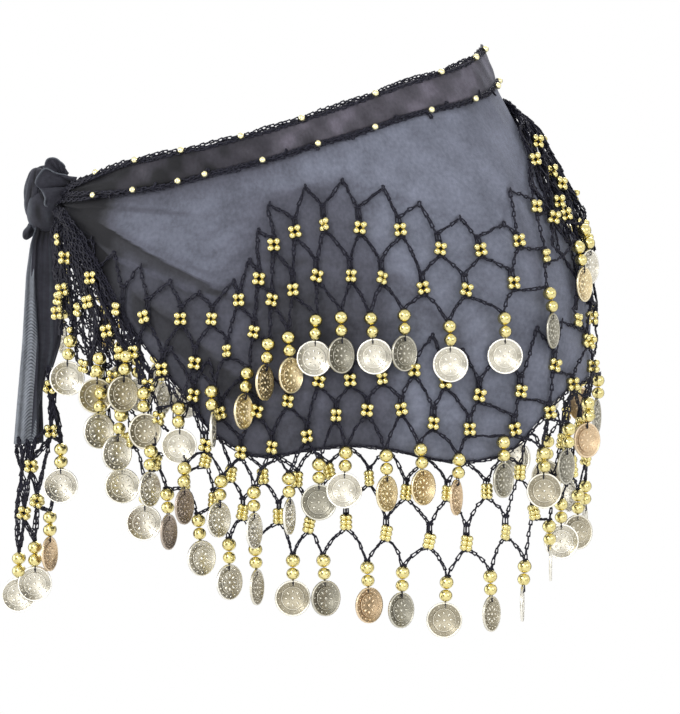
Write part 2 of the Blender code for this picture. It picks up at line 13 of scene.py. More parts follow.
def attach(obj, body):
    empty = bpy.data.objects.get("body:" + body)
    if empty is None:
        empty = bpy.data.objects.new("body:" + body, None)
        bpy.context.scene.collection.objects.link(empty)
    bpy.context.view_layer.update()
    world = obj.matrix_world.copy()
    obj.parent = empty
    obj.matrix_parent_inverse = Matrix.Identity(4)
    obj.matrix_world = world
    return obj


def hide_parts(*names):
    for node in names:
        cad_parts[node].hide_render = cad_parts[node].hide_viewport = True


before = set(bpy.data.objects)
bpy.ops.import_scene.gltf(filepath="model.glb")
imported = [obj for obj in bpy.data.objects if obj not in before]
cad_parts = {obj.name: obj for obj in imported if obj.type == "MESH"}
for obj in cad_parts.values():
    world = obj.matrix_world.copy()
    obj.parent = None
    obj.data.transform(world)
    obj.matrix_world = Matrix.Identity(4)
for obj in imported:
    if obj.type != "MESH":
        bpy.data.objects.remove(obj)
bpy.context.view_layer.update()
bpy.ops.object.select_all(action="DESELECT")
mm = 0.001
chance = random.Random(11)
view = {  # the front camera, and the tables' places in its view: the hips' origin, and millimetres a step
    "place": (0.01218, -2.6, -0.13282), "lens": 237.3, "origin": (319, 128), "step": 0.58,
}
print("frame loaded")


# the hips' surface, which cloth, nets and drops follow

hips = {
    "power": 2.3,
    "height": (-310, -160, -130, -100, -70, -40, -10, 20, 50, 70),
    "centre": (4, 4, 4, 3.5, 2, -0.5, -6, -10, -11, -11),
    "halfWidth": (147, 153, 154, 153.5, 148, 136.5, 126, 114, 103, 98),
    "halfDepth": (112, 116, 116, 114, 110, 104, 96, 88, 80, 76),
    "knotLift": 9,
    "knotReach": 30,
    "netLift": 2.0,  # nets stand further off near the knot
    "widest": -130,  # below this, what hangs is free of the hips
    # where nets hang straight down at the right hip: how far out from the top, and how much less below
    "side": {"angle": 180, "reach": 15, "top": 17, "out": 10, "less": 9, "from": -52},
}
folds = {  # ridges that radiate from the knot
    "origin": -44,
    "arc": 2.44,  # length of one degree there
    "start": 30,
    "rows": (  # direction, half width, height, reach
        (5, 3.0, 1.5, 110),
        (-4, 3.0, 2.0, 130),
        (-13, 4.0, 2.5, 170),
        (-21, 4.0, -1.5, 180),
        (-32, 6.0, 1.2, 200),
    ),
}
edges = {
    "angle": (4, 20, 33, 44, 56, 67, 78, 91, 108, 123, 134, 144, 156, 168, 180),
    "top": (-34, -28, -22, -18, -14, -9, -4, 3, 12, 21, 27, 32, 39, 45.5, 48),
    "band": (-41, -41, -39, -37, -31, -26, -21, -14, -6, 3, 8, 12, 18, 25, 29),
    "hemAngle": (4, 11, 24, 37, 44, 52, 60, 67, 73, 78, 84, 97, 107, 121, 127, 134, 139, 144, 154,
                 168, 180),
    "hem": (-50, -54, -82, -111, -129, -151, -176, -186, -189, -188, -185, -182, -184, -191, -192, -190,
            -186, -175, -153, -145, -142),
    "backHem": (-54, -65, -76, -85, -90, -92, -94, -95, -97, -101, -106, -113, -122, -133, -142),
}


def smooth(share):
    share = np.clip(share, 0, 1)
    return share * share * (3 - 2 * share)


def rising(value, start, width):
    # from 0 at the start to 1 a width further on
    return smooth((value - start) / width)


def falling(value, start, width):
    return 1 - rising(value, start, width)


def bell(away, halfWidth):
    return np.exp(-((away / halfWidth) ** 2))


def fromKnot(angle):
    return np.minimum(angle % 360, 360 - angle % 360)


def aboutKnot(angle, height):
    # distance and direction from where the folds start
    along = folds["arc"] * fromKnot(angle)
    rise = height - folds["origin"]
    return np.hypot(along, rise), np.degrees(np.arctan2(rise, np.maximum(along, 1e-6)))


def foldRise(angle, height):
    distance, direction = aboutKnot(angle, height)
    total = 0
    for towards, halfWidth, tall, reach in folds["rows"]:
        across = bell(direction - towards, halfWidth)
        total = total + tall * across * smooth(distance / folds["start"]) * (1 - smooth(distance / reach))
    return total


def hipPoint(angle, height, out=0.0):
    angle, height, out = np.broadcast_arrays(np.asarray(angle, float), np.asarray(height, float), out)
    lift = hips["knotLift"] * (1 - smooth(fromKnot(angle) / hips["knotReach"]))
    grown = out + lift + foldRise(angle, height)
    wide = np.interp(height, hips["height"], hips["halfWidth"]) + grown
    deep = np.interp(height, hips["height"], hips["halfDepth"]) + grown
    turn = np.radians(angle)
    power = hips["power"]
    sums = np.abs(np.cos(turn) / wide) ** power + np.abs(np.sin(turn) / deep) ** power
    radius = sums ** (-1 / power)
    centre = np.interp(height, hips["height"], hips["centre"])
    return np.stack((centre - radius * np.cos(turn), -radius * np.sin(turn), height), axis=-1)


def flatPlace(angle, height):
    # the same place on the cloth laid flat
    return np.stack((angle * folds["arc"], height), axis=-1)


def unit(vectors):
    return vectors / np.maximum(np.linalg.norm(vectors, axis=-1, keepdims=True), 1e-9)


def splineThrough(points, share):
    # a smooth curve through the given points, at shares from 0 to 1
    points = np.array(points, float)
    padded = np.concatenate((2 * points[:1] - points[1:2], points, 2 * points[-1:] - points[-2:-1]))
    at = np.clip(share, 0, 1) * (len(points) - 1)
    step = np.minimum(at.astype(int), len(points) - 2)
    t = (at - step)[..., None]
    a, b, c, d = (padded[step + number] for number in range(4))
    return 0.5 * (2 * b + (c - a) * t + (2 * a - 5 * b + 4 * c - d) * t ** 2
                  + (3 * b - a - 3 * c + d) * t ** 3)


def hipOutwards(angle, height):
    around = hipPoint(np.asarray(angle) + 0.5, height) - hipPoint(np.asarray(angle) - 0.5, height)
    upwards = hipPoint(angle, np.asarray(height) + 1.0) - hipPoint(angle, np.asarray(height) - 1.0)
    return unit(np.cross(around, upwards))


def edgeHeight(edge, angle):
    angle = np.asarray(angle, float) % 360
    total = 0
    for step in (-3, -1.5, 0, 1.5, 3):  # rounds off the table's corners
        near = np.clip(angle + step, 4, 356)
        angles = edges["hemAngle" if edge == "hem" else "angle"]
        height = np.interp(fromKnot(near), angles, edges[edge])
        if edge == "hem":
            back = np.interp(fromKnot(near), edges["angle"], edges["backHem"])
            height = np.where(near > 180, back, height)
        total = total + height / 5
    return total


def netLift(angle):
    return hips["netLift"] * (1 - smooth(fromKnot(angle) / hips["knotReach"]))


def sideLift(angle, height):
    # nets hang straight down from the right hip's top, clear of the cloth
    side = hips["side"]
    near = bell(angle - side["angle"], side["reach"]) * rising(-height, -side["top"], 20)
    return near * (side["out"] - side["less"] * rising(-height, -side["from"], 45))


def netPoint(angle, height, out):
    angle, height = np.asarray(angle, float), np.asarray(height, float)
    return hipPoint(angle, height, out + netLift(angle) + sideLift(angle, height))


# materials: first a few helpers for their nodes
def setInputs(tree, node, inputs):
    # each input, by name or number, is given a value or the socket that feeds it
    for name, value in inputs.items():
        if isinstance(value, bpy.types.NodeSocket):
            tree.links.new(value, node.inputs[name])
        else:
            node.inputs[name].default_value = value
    return node


def addNode(tree, kind, inputs=None, **settings):
    node = tree.nodes.new(kind)
    node.location = (200 * len(tree.nodes) - 3400, 0)  # left to right, in the order they are made
    for name, value in settings.items():
        setattr(node, name, value)
    return setInputs(tree, node, inputs or {})


def maths(tree, operation, *values):
    return addNode(tree, "ShaderNodeMath", dict(enumerate(values)), operation=operation).outputs[0]


def scaled(tree, value, factor, added):
    return maths(tree, "MULTIPLY_ADD", value, factor, added)


def noise(tree, place, scale, detail):
    inputs = {"Vector": place, "Scale": scale, "Detail": detail}
    return addNode(tree, "ShaderNodeTexNoise", inputs).outputs["Fac"]


def attribute(tree, name):
    return addNode(tree, "ShaderNodeAttribute", attribute_name=name).outputs["Fac"]


def mixed(tree, factor, first, second, **settings):
    inputs = {"Factor": factor, "A": first, "B": second}
    return addNode(tree, "ShaderNodeMix", inputs, data_type="RGBA", **settings).outputs["Result"]


def colourRamp(tree, share, stops, interpolation="LINEAR"):
    # the first two stops are the ramp's own ends, and the others are added between them
    node = addNode(tree, "ShaderNodeValToRGB", {"Fac": share})
    node.color_ramp.interpolation = interpolation
    elements = node.color_ramp.elements
    for number, (at, colour) in enumerate(stops):
        stop = elements[number] if number < 2 else elements.new(at)
        stop.position = at
        stop.color = (*colour, 1)
    return node.outputs["Color"]


def bumped(tree, height, strength, distance):
    inputs = {"Height": height, "Strength": strength, "Distance": distance}
    return addNode(tree, "ShaderNodeBump", inputs).outputs["Normal"]


def objectPlace(tree):
    return addNode(tree, "ShaderNodeTexCoord").outputs["Object"]


def newGroup(name, inputs, outputs):
    group = bpy.data.node_groups.new(name, "ShaderNodeTree")
    for label, value in inputs.items():
        socket = group.interface.new_socket(label, in_out="INPUT", socket_type="NodeSocketFloat")
        socket.default_value = value
    for label in outputs:
        group.interface.new_socket(label, in_out="OUTPUT", socket_type="NodeSocketFloat")
    return group, addNode(group, "NodeGroupInput").outputs


def newMaterial(name):
    made = bpy.data.materials.new(name)
    made.use_nodes = True
    return made, made.node_tree, made.node_tree.nodes["Principled BSDF"]


chiffonLook = {
    "threads": 900, "crepe": 420, "slubs": 55,  # how fine each is over a metre of cloth
    "threadShare": 0.35, "slubShare": 0.6,  # and how much each adds
    "unevenScale": 14, "uneven": 0.22,  # soft patches of denser cloth
    "roughness": 0.8, "gloss": 0.25, "bump": (0.25, 0.0003),
    "sheen": 0.25, "darkSheen": -0.18,  # less sheen where painted shade darkens the folds
    "sheenRoughness": 0.45, "sheenTint": (0.75, 0.8, 1.0, 1),
}


def weaveGroup():
    # the fine cross weave of chiffon, with its crepe and slubs, on the cloth's own UV in metres
    inputs = {"Threads": chiffonLook["threads"], "Crepe": 1.0}
    group, given = newGroup("chiffonWeave", inputs, ("Tone", "Relief"))
    place = addNode(group, "ShaderNodeUVMap", uv_map="clothUV").outputs["UV"]
    threads = {"Vector": place, "Scale": given["Threads"], "Distortion": 1.5, "Detail": 1.0,
               "Detail Scale": 0.4}
    warp, weft = (addNode(group, "ShaderNodeTexWave", threads, bands_direction=direction).outputs["Fac"]
                  for direction in "XY")
    crepe = maths(group, "MULTIPLY", noise(group, place, chiffonLook["crepe"], 6), given["Crepe"])
    relief = scaled(group, maths(group, "ADD", warp, weft), chiffonLook["threadShare"], crepe)
    slubs = maths(group, "MULTIPLY", noise(group, place, chiffonLook["slubs"], 3), chiffonLook["slubShare"])
    addNode(group, "NodeGroupOutput", {"Tone": scaled(group, relief, 0.5, slubs), "Relief": relief})
    return group


def chiffonMaterial(name, weave, stops, moire=0.0):
    # stops are colours from one layer of cloth (0) to its deepest folds (1); the layers attribute that
    # picks them holds painted shade and painted light as well as the darker tone of doubled cloth
    made, tree, shader = newMaterial(name)
    inputs = {"Threads": chiffonLook["threads"]}
    cloth = addNode(tree, "ShaderNodeGroup", inputs, node_tree=weave).outputs
    patches = noise(tree, objectPlace(tree), chiffonLook["unevenScale"], 2)
    shade = scaled(tree, patches, chiffonLook["uneven"], attribute(tree, "layers"))
    if moire:  # the rippled grain of two sheer layers lying on each other
        wave = maths(tree, "SINE", attribute(tree, "ripple"))
        shade = scaled(tree, maths(tree, "MULTIPLY", wave, attribute(tree, "moire")), moire, shade)
    tone = scaled(tree, cloth["Tone"], 1.8, -0.3)
    colour = mixed(tree, 0.9, colourRamp(tree, shade, stops, "EASE"), tone, blend_type="MULTIPLY")
    setInputs(tree, shader, {
        "Base Color": colour,
        "Roughness": chiffonLook["roughness"],
        "Specular IOR Level": chiffonLook["gloss"],
        "Sheen Weight": scaled(tree, shade, chiffonLook["darkSheen"], chiffonLook["sheen"]),
        "Sheen Roughness": chiffonLook["sheenRoughness"],
        "Sheen Tint": chiffonLook["sheenTint"],
        "Normal": bumped(tree, cloth["Relief"], *chiffonLook["bump"]),
    })
    return made


metalLook = {
    "dulling": 0.22,  # how much rougher tarnish makes it
    "fine": 1800, "bump": (0.08, 0.0002),  # fine pitting: its scale, strength and depth
    "coinTarnish": (0.35, 300),  # amount and scale
}
yarnLook = {
    "fibres": 1500, "bump": (0.5, 0.0003), "roughness": 0.6, "gloss": 0.25,
    "colours": ((0.3, (0.004, 0.004, 0.008)), (0.75, (0.022, 0.022, 0.04))),
}


def wearGroup():
    # tarnish in soft blotches, on the piece's own coordinates
    group, given = newGroup("metalTarnish", {"Scale": 300.0, "Amount": 0.4}, ("Mask", "Fine"))
    place = objectPlace(group)
    mask = maths(group, "MULTIPLY", noise(group, place, given["Scale"], 3), given["Amount"])
    addNode(group, "NodeGroupOutput", {"Mask": mask, "Fine": noise(group, place, metalLook["fine"], 2)})
    return group


def metalMaterial(name, tarnish, bright, dull, roughness, amount, scale, patinaAndHollowShade=0.0):
    made, tree, shader = newMaterial(name)
    inputs = {"Scale": scale, "Amount": amount}
    wear = addNode(tree, "ShaderNodeGroup", inputs, node_tree=tarnish).outputs
    worn = wear["Mask"]
    if patinaAndHollowShade:  # darker where the relief is low: patina and painted shade in the hollows
        worn = maths(tree, "ADD", scaled(tree, attribute(tree, "raised"), -patinaAndHollowShade, patinaAndHollowShade), worn)
    setInputs(tree, shader, {
        "Base Color": mixed(tree, worn, (*bright, 1), (*dull, 1)),
        "Metallic": 1.0,
        "Roughness": scaled(tree, worn, metalLook["dulling"], roughness),
        "Normal": bumped(tree, wear["Fine"], *metalLook["bump"]),
    })
    return made


def yarnMaterial():
    made, tree, shader = newMaterial("crochetYarn")
    fibre = noise(tree, objectPlace(tree), yarnLook["fibres"], 4)
    setInputs(tree, shader, {
        "Base Color": colourRamp(tree, fibre, yarnLook["colours"]),
        "Roughness": yarnLook["roughness"],
        "Specular IOR Level": yarnLook["gloss"],
        "Normal": bumped(tree, fibre, *yarnLook["bump"]),
    })
    return made


weave = weaveGroup()
tarnish = wearGroup()
chiffon = chiffonMaterial("chiffonCloth", weave, (
    (0.0, (0.142, 0.154, 0.2)),
    (1.0, (0.007, 0.007, 0.009)),
    (0.35, (0.066, 0.068, 0.09)),
    (0.7, (0.031, 0.0315, 0.038)),
))
bandChiffon = chiffonMaterial("foldedChiffon", weave, (
    (0.0, (0.109, 0.099, 0.127)),
    (1.0, (0.009, 0.009, 0.011)),
    (0.4, (0.056, 0.052, 0.065)),
    (0.7, (0.029, 0.027, 0.035)),
))
knotChiffon = chiffonMaterial("knottedChiffon", weave, (
    (0.0, (0.245, 0.265, 0.3)),
    (1.0, (0.007, 0.007, 0.009)),
    (0.4, (0.05, 0.056, 0.069)),
    (0.7, (0.027, 0.027, 0.037)),
), moire=0.24)
yarn = yarnMaterial()
beadGold = metalMaterial("beadGold", tarnish, (0.82, 0.73, 0.35), (0.47, 0.38, 0.12), 0.12, 0.6, 250)
beadPale = metalMaterial("beadPale", tarnish, (0.97, 0.92, 0.58), (0.78, 0.68, 0.32), 0.16, 0.5, 350)
coinTones = {  # bright and low colours, roughness, and how much darker the low parts are, as patina and painted shade in the hollows
    "pale": ((1.0, 0.985, 0.92), (0.47, 0.43, 0.33), 0.23, 0.52),
    "gold": ((1.0, 0.91, 0.65), (0.58, 0.44, 0.22), 0.24, 0.52),
    "rose": ((0.85, 0.69, 0.485), (0.5, 0.35, 0.2), 0.3, 0.44),
    "grey": ((0.66, 0.64, 0.555), (0.2, 0.185, 0.14), 0.28, 0.6),
    "brown": ((0.54, 0.47, 0.405), (0.26, 0.2, 0.155), 0.34, 0.5),
    "worn": ((0.87, 0.84, 0.74), (0.34, 0.3, 0.21), 0.28, 0.7),
}
coinFinishes = [
    metalMaterial("coin" + name.capitalize(), tarnish, bright, low, roughness, *metalLook["coinTarnish"],
                  patinaAndHollowShade)
    for name, (bright, low, roughness, patinaAndHollowShade) in coinTones.items()
]
print("materials made")


# small shapes that repeat: each is modelled once in millimetres and kept as arrays
def readValues(items, name, kind=float, width=1):
    # a value, or with a width a row of values, of each vertex, loop or face
    values = np.empty(len(items) * width, kind)
    items.foreach_get(name, values)
    return values.reshape(-1, width) if width > 1 else values


def takeShape():
    # reads the active object's mesh and removes the object
    made = bpy.context.object
    mesh = made.data
    shape = {
        "points": readValues(mesh.vertices, "co", width=3),
        "corners": readValues(mesh.loops, "vertex_index", int),
        "starts": readValues(mesh.polygons, "loop_start", int),
    }
    bpy.data.objects.remove(made)
    bpy.data.meshes.remove(mesh)
    return shape


def applyAll():
    bpy.ops.object.transform_apply(location=True, rotation=True, scale=True)


def editAll(operator, **settings):
    # an edit mode operator on the whole active object
    bpy.ops.object.mode_set(mode="EDIT")
    bpy.ops.mesh.select_all(action="SELECT")
    operator(**settings)
    bpy.ops.object.mode_set(mode="OBJECT")


def joinPieces(name, parts):
    bpy.ops.object.select_all(action="DESELECT")
    for part in parts:
        part.select_set(True)
    bpy.context.view_layer.objects.active = parts[0]
    bpy.ops.object.join()
    made = bpy.context.object
    made.name = made.data.name = name
    return made


link = {  # one chain stitch; twist is how far stitches turn from side to side, in degrees
    "length": 4.6, "width": 2.6, "yarn": 1.1, "pitch": 3.3, "twist": 34, "uneven": 25,
}


def modelLink():
    # a long open loop, wider at its head
    inner = link["width"] / 2 - link["yarn"] / 2
    bpy.ops.mesh.primitive_torus_add(major_segments=6, minor_segments=3, major_radius=inner,
                                     minor_radius=link["yarn"] / 2)
    stretch = (link["length"] - link["width"]) / 2
    for vert in bpy.context.object.data.vertices:
        reach = vert.co.x / inner
        vert.co.x += stretch * max(-1, min(1, reach * 1.4))
        vert.co.y *= 1 + 0.18 * reach
    return takeShape()


beadSizes = {"smallBead": (2.1, 8, 5), "largeBead": (4.0, 12, 8)}  # radius, faces around and levels


def modelBead(radius, around, levels):
    bpy.ops.mesh.primitive_uv_sphere_add(segments=around, ring_count=levels, radius=radius)
    bpy.context.object.scale = (1, 1, 0.94)
    applyAll()
    return takeShape()


coin = {
    "radius": 10, "thickness": 1.1,
    "rim": ((0.25, 0.12), (0.55, 0.0)),  # insets of each face: how far in, and how far it rises
    "recess": (0.15, 0.35),  # then how far in, and how deep it sinks
    "dots": 15, "petals": 8, "ring": (6.4, 0.26),
    "marks": {  # how far from the middle, half length, half width, height, sides, and its top's width
        "dot": (7.95, 1.05, 0.95, 1.8, 5, 0.1),
        "shortPetal": (3.9, 1.6, 0.95, 2.0, 6, 0.3),
        "longPetal": (3.9, 2.2, 0.95, 2.0, 6, 0.3),
        "seed": (5.3, 0.75, 0.9, 1.7, 5, 0.1),
        "middle": (0, 1.5, 1.5, 2.0, 7, 0.3),
    },
}


def addMark(kind, turn, level, side):
    # a raised mark on one face of the coin
    away, long, wide, tall, sides, top = coin["marks"][kind]
    place = (away * math.cos(turn), away * math.sin(turn), level)
    bpy.ops.mesh.primitive_cone_add(vertices=sides, radius1=1, radius2=top, depth=0.5, location=place,
                                    end_fill_type="NGON", rotation=(0, 0, turn))
    made = bpy.context.object
    made.scale = (long, wide, tall * side)
    applyAll()
    if side < 0:
        editAll(bpy.ops.mesh.normals_make_consistent, inside=False)
    return made


def modelCoin():
    # rim, ring of dots, inner ring and a rosette, on both faces; its axis is Y and its top is +Z
    bpy.ops.mesh.primitive_cylinder_add(vertices=24, radius=coin["radius"], depth=coin["thickness"])
    disc = bpy.context.object
    slope, depth = coin["recess"]
    bpy.ops.object.mode_set(mode="EDIT")
    bpy.ops.mesh.select_mode(type="FACE")
    for side in (1, -1):
        bpy.ops.mesh.select_all(action="DESELECT")
        bpy.ops.object.mode_set(mode="OBJECT")
        for face in disc.data.polygons:
            face.select = face.normal.z * side > 0.9
        bpy.ops.object.mode_set(mode="EDIT")
        for inwards, rise in (*coin["rim"], (slope, -depth)):
            bpy.ops.mesh.inset(thickness=inwards, depth=0)
            bpy.ops.transform.translate(value=(0, 0, rise * side))
    bpy.ops.object.mode_set(mode="OBJECT")
    floor = coin["thickness"] / 2 + sum(rise for _, rise in coin["rim"]) - depth
    ringRadius, ringHeight = coin["ring"]
    parts = [disc]
    for side in (1, -1):
        level = side * floor
        for number in range(coin["dots"]):
            parts.append(addMark("dot", 2 * math.pi * (number + 0.5) / coin["dots"], level, side))
        bpy.ops.mesh.primitive_torus_add(major_segments=20, minor_segments=3, major_radius=ringRadius,
                                         minor_radius=ringHeight, location=(0, 0, level + 0.1 * side))
        parts.append(bpy.context.object)
        for number in range(coin["petals"]):
            turn = 2 * math.pi * number / coin["petals"]
            petal = "longPetal" if number % 2 else "shortPetal"
            parts += [addMark(petal, turn, level, side), addMark("seed", turn + 0.4, level, side)]
        parts.append(addMark("middle", 0, level, side))
    joinPieces("coin", parts).rotation_euler = (math.pi / 2, 0, 0)
    applyAll()
    shape = takeShape()
    shape["raised"] = np.clip((np.abs(shape["points"][:, 1]) - floor) / depth, 0, 1)
    return shape


shapes = {
    "link": modelLink(),
    **{name: modelBead(*size) for name, size in beadSizes.items()},
    "coin": modelCoin(),
}
print("small shapes:", {name: len(shape["starts"]) for name, shape in shapes.items()})


def scatter(name, kind, centres, axes, *finishes, slots=0):
    # copies of a small shape in one mesh, each at its centre, with three axes and its finish's number
    shape = shapes[kind]
    count, points, corners, starts = len(centres), shape["points"], shape["corners"], shape["starts"]
    copies = np.arange(count)[:, None]
    spread = (np.einsum("vk,nkc->nvc", points, axes) + np.asarray(centres)[:, None, :]) * mm
    mesh = bpy.data.meshes.new(name)
    mesh.vertices.add(count * len(points))
    mesh.vertices.foreach_set("co", spread.ravel())
    mesh.loops.add(count * len(corners))
    mesh.loops.foreach_set("vertex_index", (corners + copies * len(points)).ravel())
    mesh.polygons.add(count * len(starts))
    mesh.polygons.foreach_set("loop_start", (starts + copies * len(corners)).ravel())
    mesh.polygons.foreach_set("material_index", np.repeat(np.broadcast_to(slots, count), len(starts)))
    mesh.update(calc_edges=True)
    for finish in finishes:
        mesh.materials.append(finish)
    if "raised" in shape:
        values = np.tile(shape["raised"], count)
        mesh.attributes.new("raised", "FLOAT", "POINT").data.foreach_set("value", values)
    mesh.polygons.foreach_set("use_smooth", np.ones(len(mesh.polygons), bool))
    made = bpy.data.objects.new(name, mesh)
    bpy.context.scene.collection.objects.link(made)
    return made


def settle(piece, slot, *nodes):
    # every piece belongs to the one rigid body, and some stand in for the solids' nodes
    if nodes:
        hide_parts(*nodes)
    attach(piece, "root")
    return piece


# chains are rows of chain stitches along a path of (angle, height, out)
def stitchFrames(first, second, outwards, twist=link["twist"]):
    # centres and axes of stitches from each first point to its second
    along = second - first
    length = np.linalg.norm(along, axis=1, keepdims=True)
    tangent = along / np.maximum(length, 1e-6)
    side = unit(np.cross(outwards, tangent))
    outwards = np.cross(tangent, side)
    turns = [twist * (1 if number % 2 else -1) + chance.uniform(-link["uneven"], link["uneven"])
             for number in range(len(first))]
    turns = np.radians(turns)[:, None]
    across = side * np.cos(turns) + outwards * np.sin(turns)
    upwards = np.cross(tangent, across)
    axes = np.stack((tangent * length / link["pitch"], across, upwards), axis=1)
    return (first + second) / 2, axes


def stitchEnds(chains):
    # where every stitch starts and where it ends; each chain is a list of places a stitch apart
    return (np.concatenate([chain[:-1] for chain in chains]),
            np.concatenate([chain[1:] for chain in chains]))


def chainFrames(chains, twist=link["twist"], place=netPoint):
    # centres and axes of every stitch of chains that follow the hips
    heads, tails = stitchEnds(chains)
    middle = (heads + tails) / 2
    outwards = hipOutwards(middle[:, 0], middle[:, 1])
    return stitchFrames(place(*heads.T), place(*tails.T), outwards, twist)


def chainOn(angles, heights, out):
    # stations that are all equally far out
    return np.stack((angles, heights, np.full(len(angles), out)), axis=1)


def stationsAlong(path):
    # places a stitch apart on a path of (angle, height, out)
    lengths = np.linalg.norm(np.diff(netPoint(*path.T), axis=0), axis=1)
    travelled = np.concatenate(([0], np.cumsum(lengths)))
    at = np.linspace(0, travelled[-1], max(1, round(travelled[-1] / link["pitch"])) + 1)
    return np.stack([np.interp(at, travelled, path[:, column]) for column in range(3)], axis=1)


def strand(start, end, arch=0.14, jitter=0.8):
    # stations from start to end, each (angle, height, out), leaving sideways and arching down
    start, end = np.asarray(start, float), np.asarray(end, float)
    control = start + (end - start) * (0.55, 0.5 - arch, 0.5)
    control[1] += chance.uniform(-jitter, jitter)
    share = np.linspace(0, 1, 9)[:, None]
    path = start * (1 - share) ** 2 + 2 * control * share * (1 - share) + end * share ** 2
    stations = stationsAlong(path)
    for station in stations[1:-1]:  # crinkled yarn
        station += (chance.uniform(-0.2, 0.2), chance.uniform(-0.5, 0.5), chance.uniform(0, 0.5))
    return stations


def loosePath(stops, wave, waves):
    # stations along a smooth path through the stops, waving a little
    share = np.linspace(0, 1, 40)
    path = splineThrough(stops, share)
    turn = chance.uniform(0, 6)
    path[:, 0] += wave * np.sin(share * waves * 2 * math.pi + turn) * np.sin(math.pi * share)
    return stationsAlong(path)


# the net tiers, which meet at the same points as the solids: their nodes in the front view, as steps
# right and down from its corner, from the knot to the right hip
frontRows = {
    "upper": {
        "peak": ((64, 218), (91, 240), (113, 255), (140, 267), (169, 283), (198, 294), (233, 283),
                 (249, 262), (258, 232), (269, 205), (305, 188), (342, 182), (383, 189), (419, 205),
                 (460, 219), (504, 225), (511, 191), (528, 146)),
        "first": ((72, 258), (97, 278), (122, 309), (147, 317), (181, 319), (212, 319), (239, 300),
                  (259, 279), (274, 245), (295, 232), (324, 225), (360, 228), (400, 230), (440, 249),
                  (480, 250), (518, 241), (535, 207), (551, 172)),
        "second": ((65, 299), (84, 310), (113, 331), (138, 352), (163, 369), (195, 363), (227, 351),
                   (254, 332), (272, 300), (293, 290), (317, 276), (351, 276), (382, 278), (423, 288),
                   (466, 290), (513, 283), (545, 256), (565, 215)),
        "drop": ((72, 335), (101, 352), (128, 350), (144, 387), (179, 402), (212, 385), (248, 367),
                 (269, 338), (288, 331), (316, 314), (341, 311), (370, 312), (404, 309), (449, 320),
                 (504, 312), (548, 287), (576, 241), (582, 224)),
    },
    "middle": {
        "peak": ((105, 318), (135, 340), (170, 350), (208, 362), (240, 380), (272, 378), (303, 368),
                 (335, 352), (366, 350), (398, 345), (432, 337), (462, 352), (500, 352), (537, 330),
                 (562, 322), (590, 303)),
        "first": ((90, 366), (119, 377), (151, 385), (194, 395), (221, 413), (257, 411), (288, 401),
                  (319, 381), (350, 380), (382, 378), (414, 370), (445, 382), (479, 395), (520, 391),
                  (554, 365), (587, 340)),
        "second": ((104, 372), (128, 402), (160, 418), (206, 445), (241, 452), (272, 447), (307, 436),
                   (336, 415), (367, 410), (401, 409), (433, 423), (469, 429), (514, 429), (549, 412),
                   (572, 384), (592, 366)),
        "drop": ((102, 387), (123, 409), (152, 445), (185, 462), (222, 475), (254, 486), (289, 472),
                 (319, 458), (346, 446), (386, 449), (420, 443), (459, 453), (503, 436), (543, 447),
                 (569, 423), (588, 397)),
    },
    "lower": {
        "peak": ((112, 300), (136, 338), (162, 366), (190, 398), (217, 440), (246, 453), (279, 457),
                 (312, 447), (349, 445), (388, 449), (427, 458), (467, 462), (503, 456), (530, 433),
                 (553, 405), (572, 375), (588, 382)),
        "first": ((125, 405), (150, 432), (180, 452), (206, 460), (231, 474), (263, 476), (297, 479),
                  (329, 471), (369, 478), (406, 492), (447, 493), (486, 491), (519, 472), (541, 456),
                  (561, 441), (579, 425), (588, 412)),
        "second": ((108, 412), (133, 440), (158, 462), (186, 482), (214, 500), (243, 512), (279, 516),
                   (309, 525), (346, 522), (386, 533), (429, 541), (466, 543), (505, 532), (533, 512),
                   (553, 488), (571, 470), (585, 458)),
        "drop": ((121, 442), (146, 479), (167, 488), (198, 514), (229, 538), (255, 543), (293, 554),
                 (323, 554), (367, 561), (403, 566), (447, 576), (490, 570), (525, 560), (549, 520),
                 (561, 498), (578, 489), (585, 480)),
    },
}
# the right hip (180 degrees) and the back: number from the knot, then heights
backColumns = ("column", "peak", "first", "second", "drop")
backRows = {
    "upper": (
        (0, -56, -69, -83, -97), (2, -52, -64, -79, -93), (5, -38, -51, -67, -82),
        (9, -26, -40, -57, -72), (13, -10, -24, -42, -57), (15, 2, -14, -36, -53),
        (17, 6, -12, -36, -60),
    ),
    "middle": (
        (0, -84, -95, -109, -123), (2, -80, -93, -108, -122), (4, -76, -90, -106, -120),
        (8, -71, -86, -103, -118), (12, -77, -93, -112, -129), (15, -94, -112, -132, -150),
    ),
    "lower": (
        (0, 0, -94, -112, -130), (2, 0, -102, -118, -134), (4, 0, -107, -123, -139),
        (8, 0, -112, -128, -144), (10, 0, -117, -134, -150), (12, 0, -128, -146, -163),
        (14, 0, -147, -167, -185), (16, 0, -163, -184, -204),
    ),
}
backAngles = {  # of the columns behind, as degrees from the knot
    "upper": ((0, 14), (2, 35.5), (4, 56), (7, 77.5), (9, 90.5), (11, 107), (13, 130.5), (15, 157),
              (17, 180)),
    "middle": ((0, 35.5), (4, 75), (8, 109.5), (12, 151), (15, 180)),
    "lower": ((0, 33), (4, 59.5), (8, 96), (12, 139), (16, 180)),
}
tiers = {
    # how far out the net, its row of loops and the drops are, a flower's rows of beads, how far the
    # strands of each level arch down, and the height of the picots
    "upper": {"firstShift": 0.0, "net": 1.9, "row": 3.5, "forward": 3.7, "rows": 2,
              "arches": (-0.08, 0.14, 0.2), "picot": 2.0},
    "middle": {"firstShift": 0.5, "net": 1.9, "row": 3.5, "forward": 3.7, "rows": 2,
               "arches": (-0.08, 0.14, 0.22), "picot": 2.0},
    "lower": {"firstShift": 0.0, "net": -0.6, "row": -2.1, "forward": 0.0, "rows": 3,
              "arches": (0.14, 0.14, 0.3), "picot": 1.0},
}
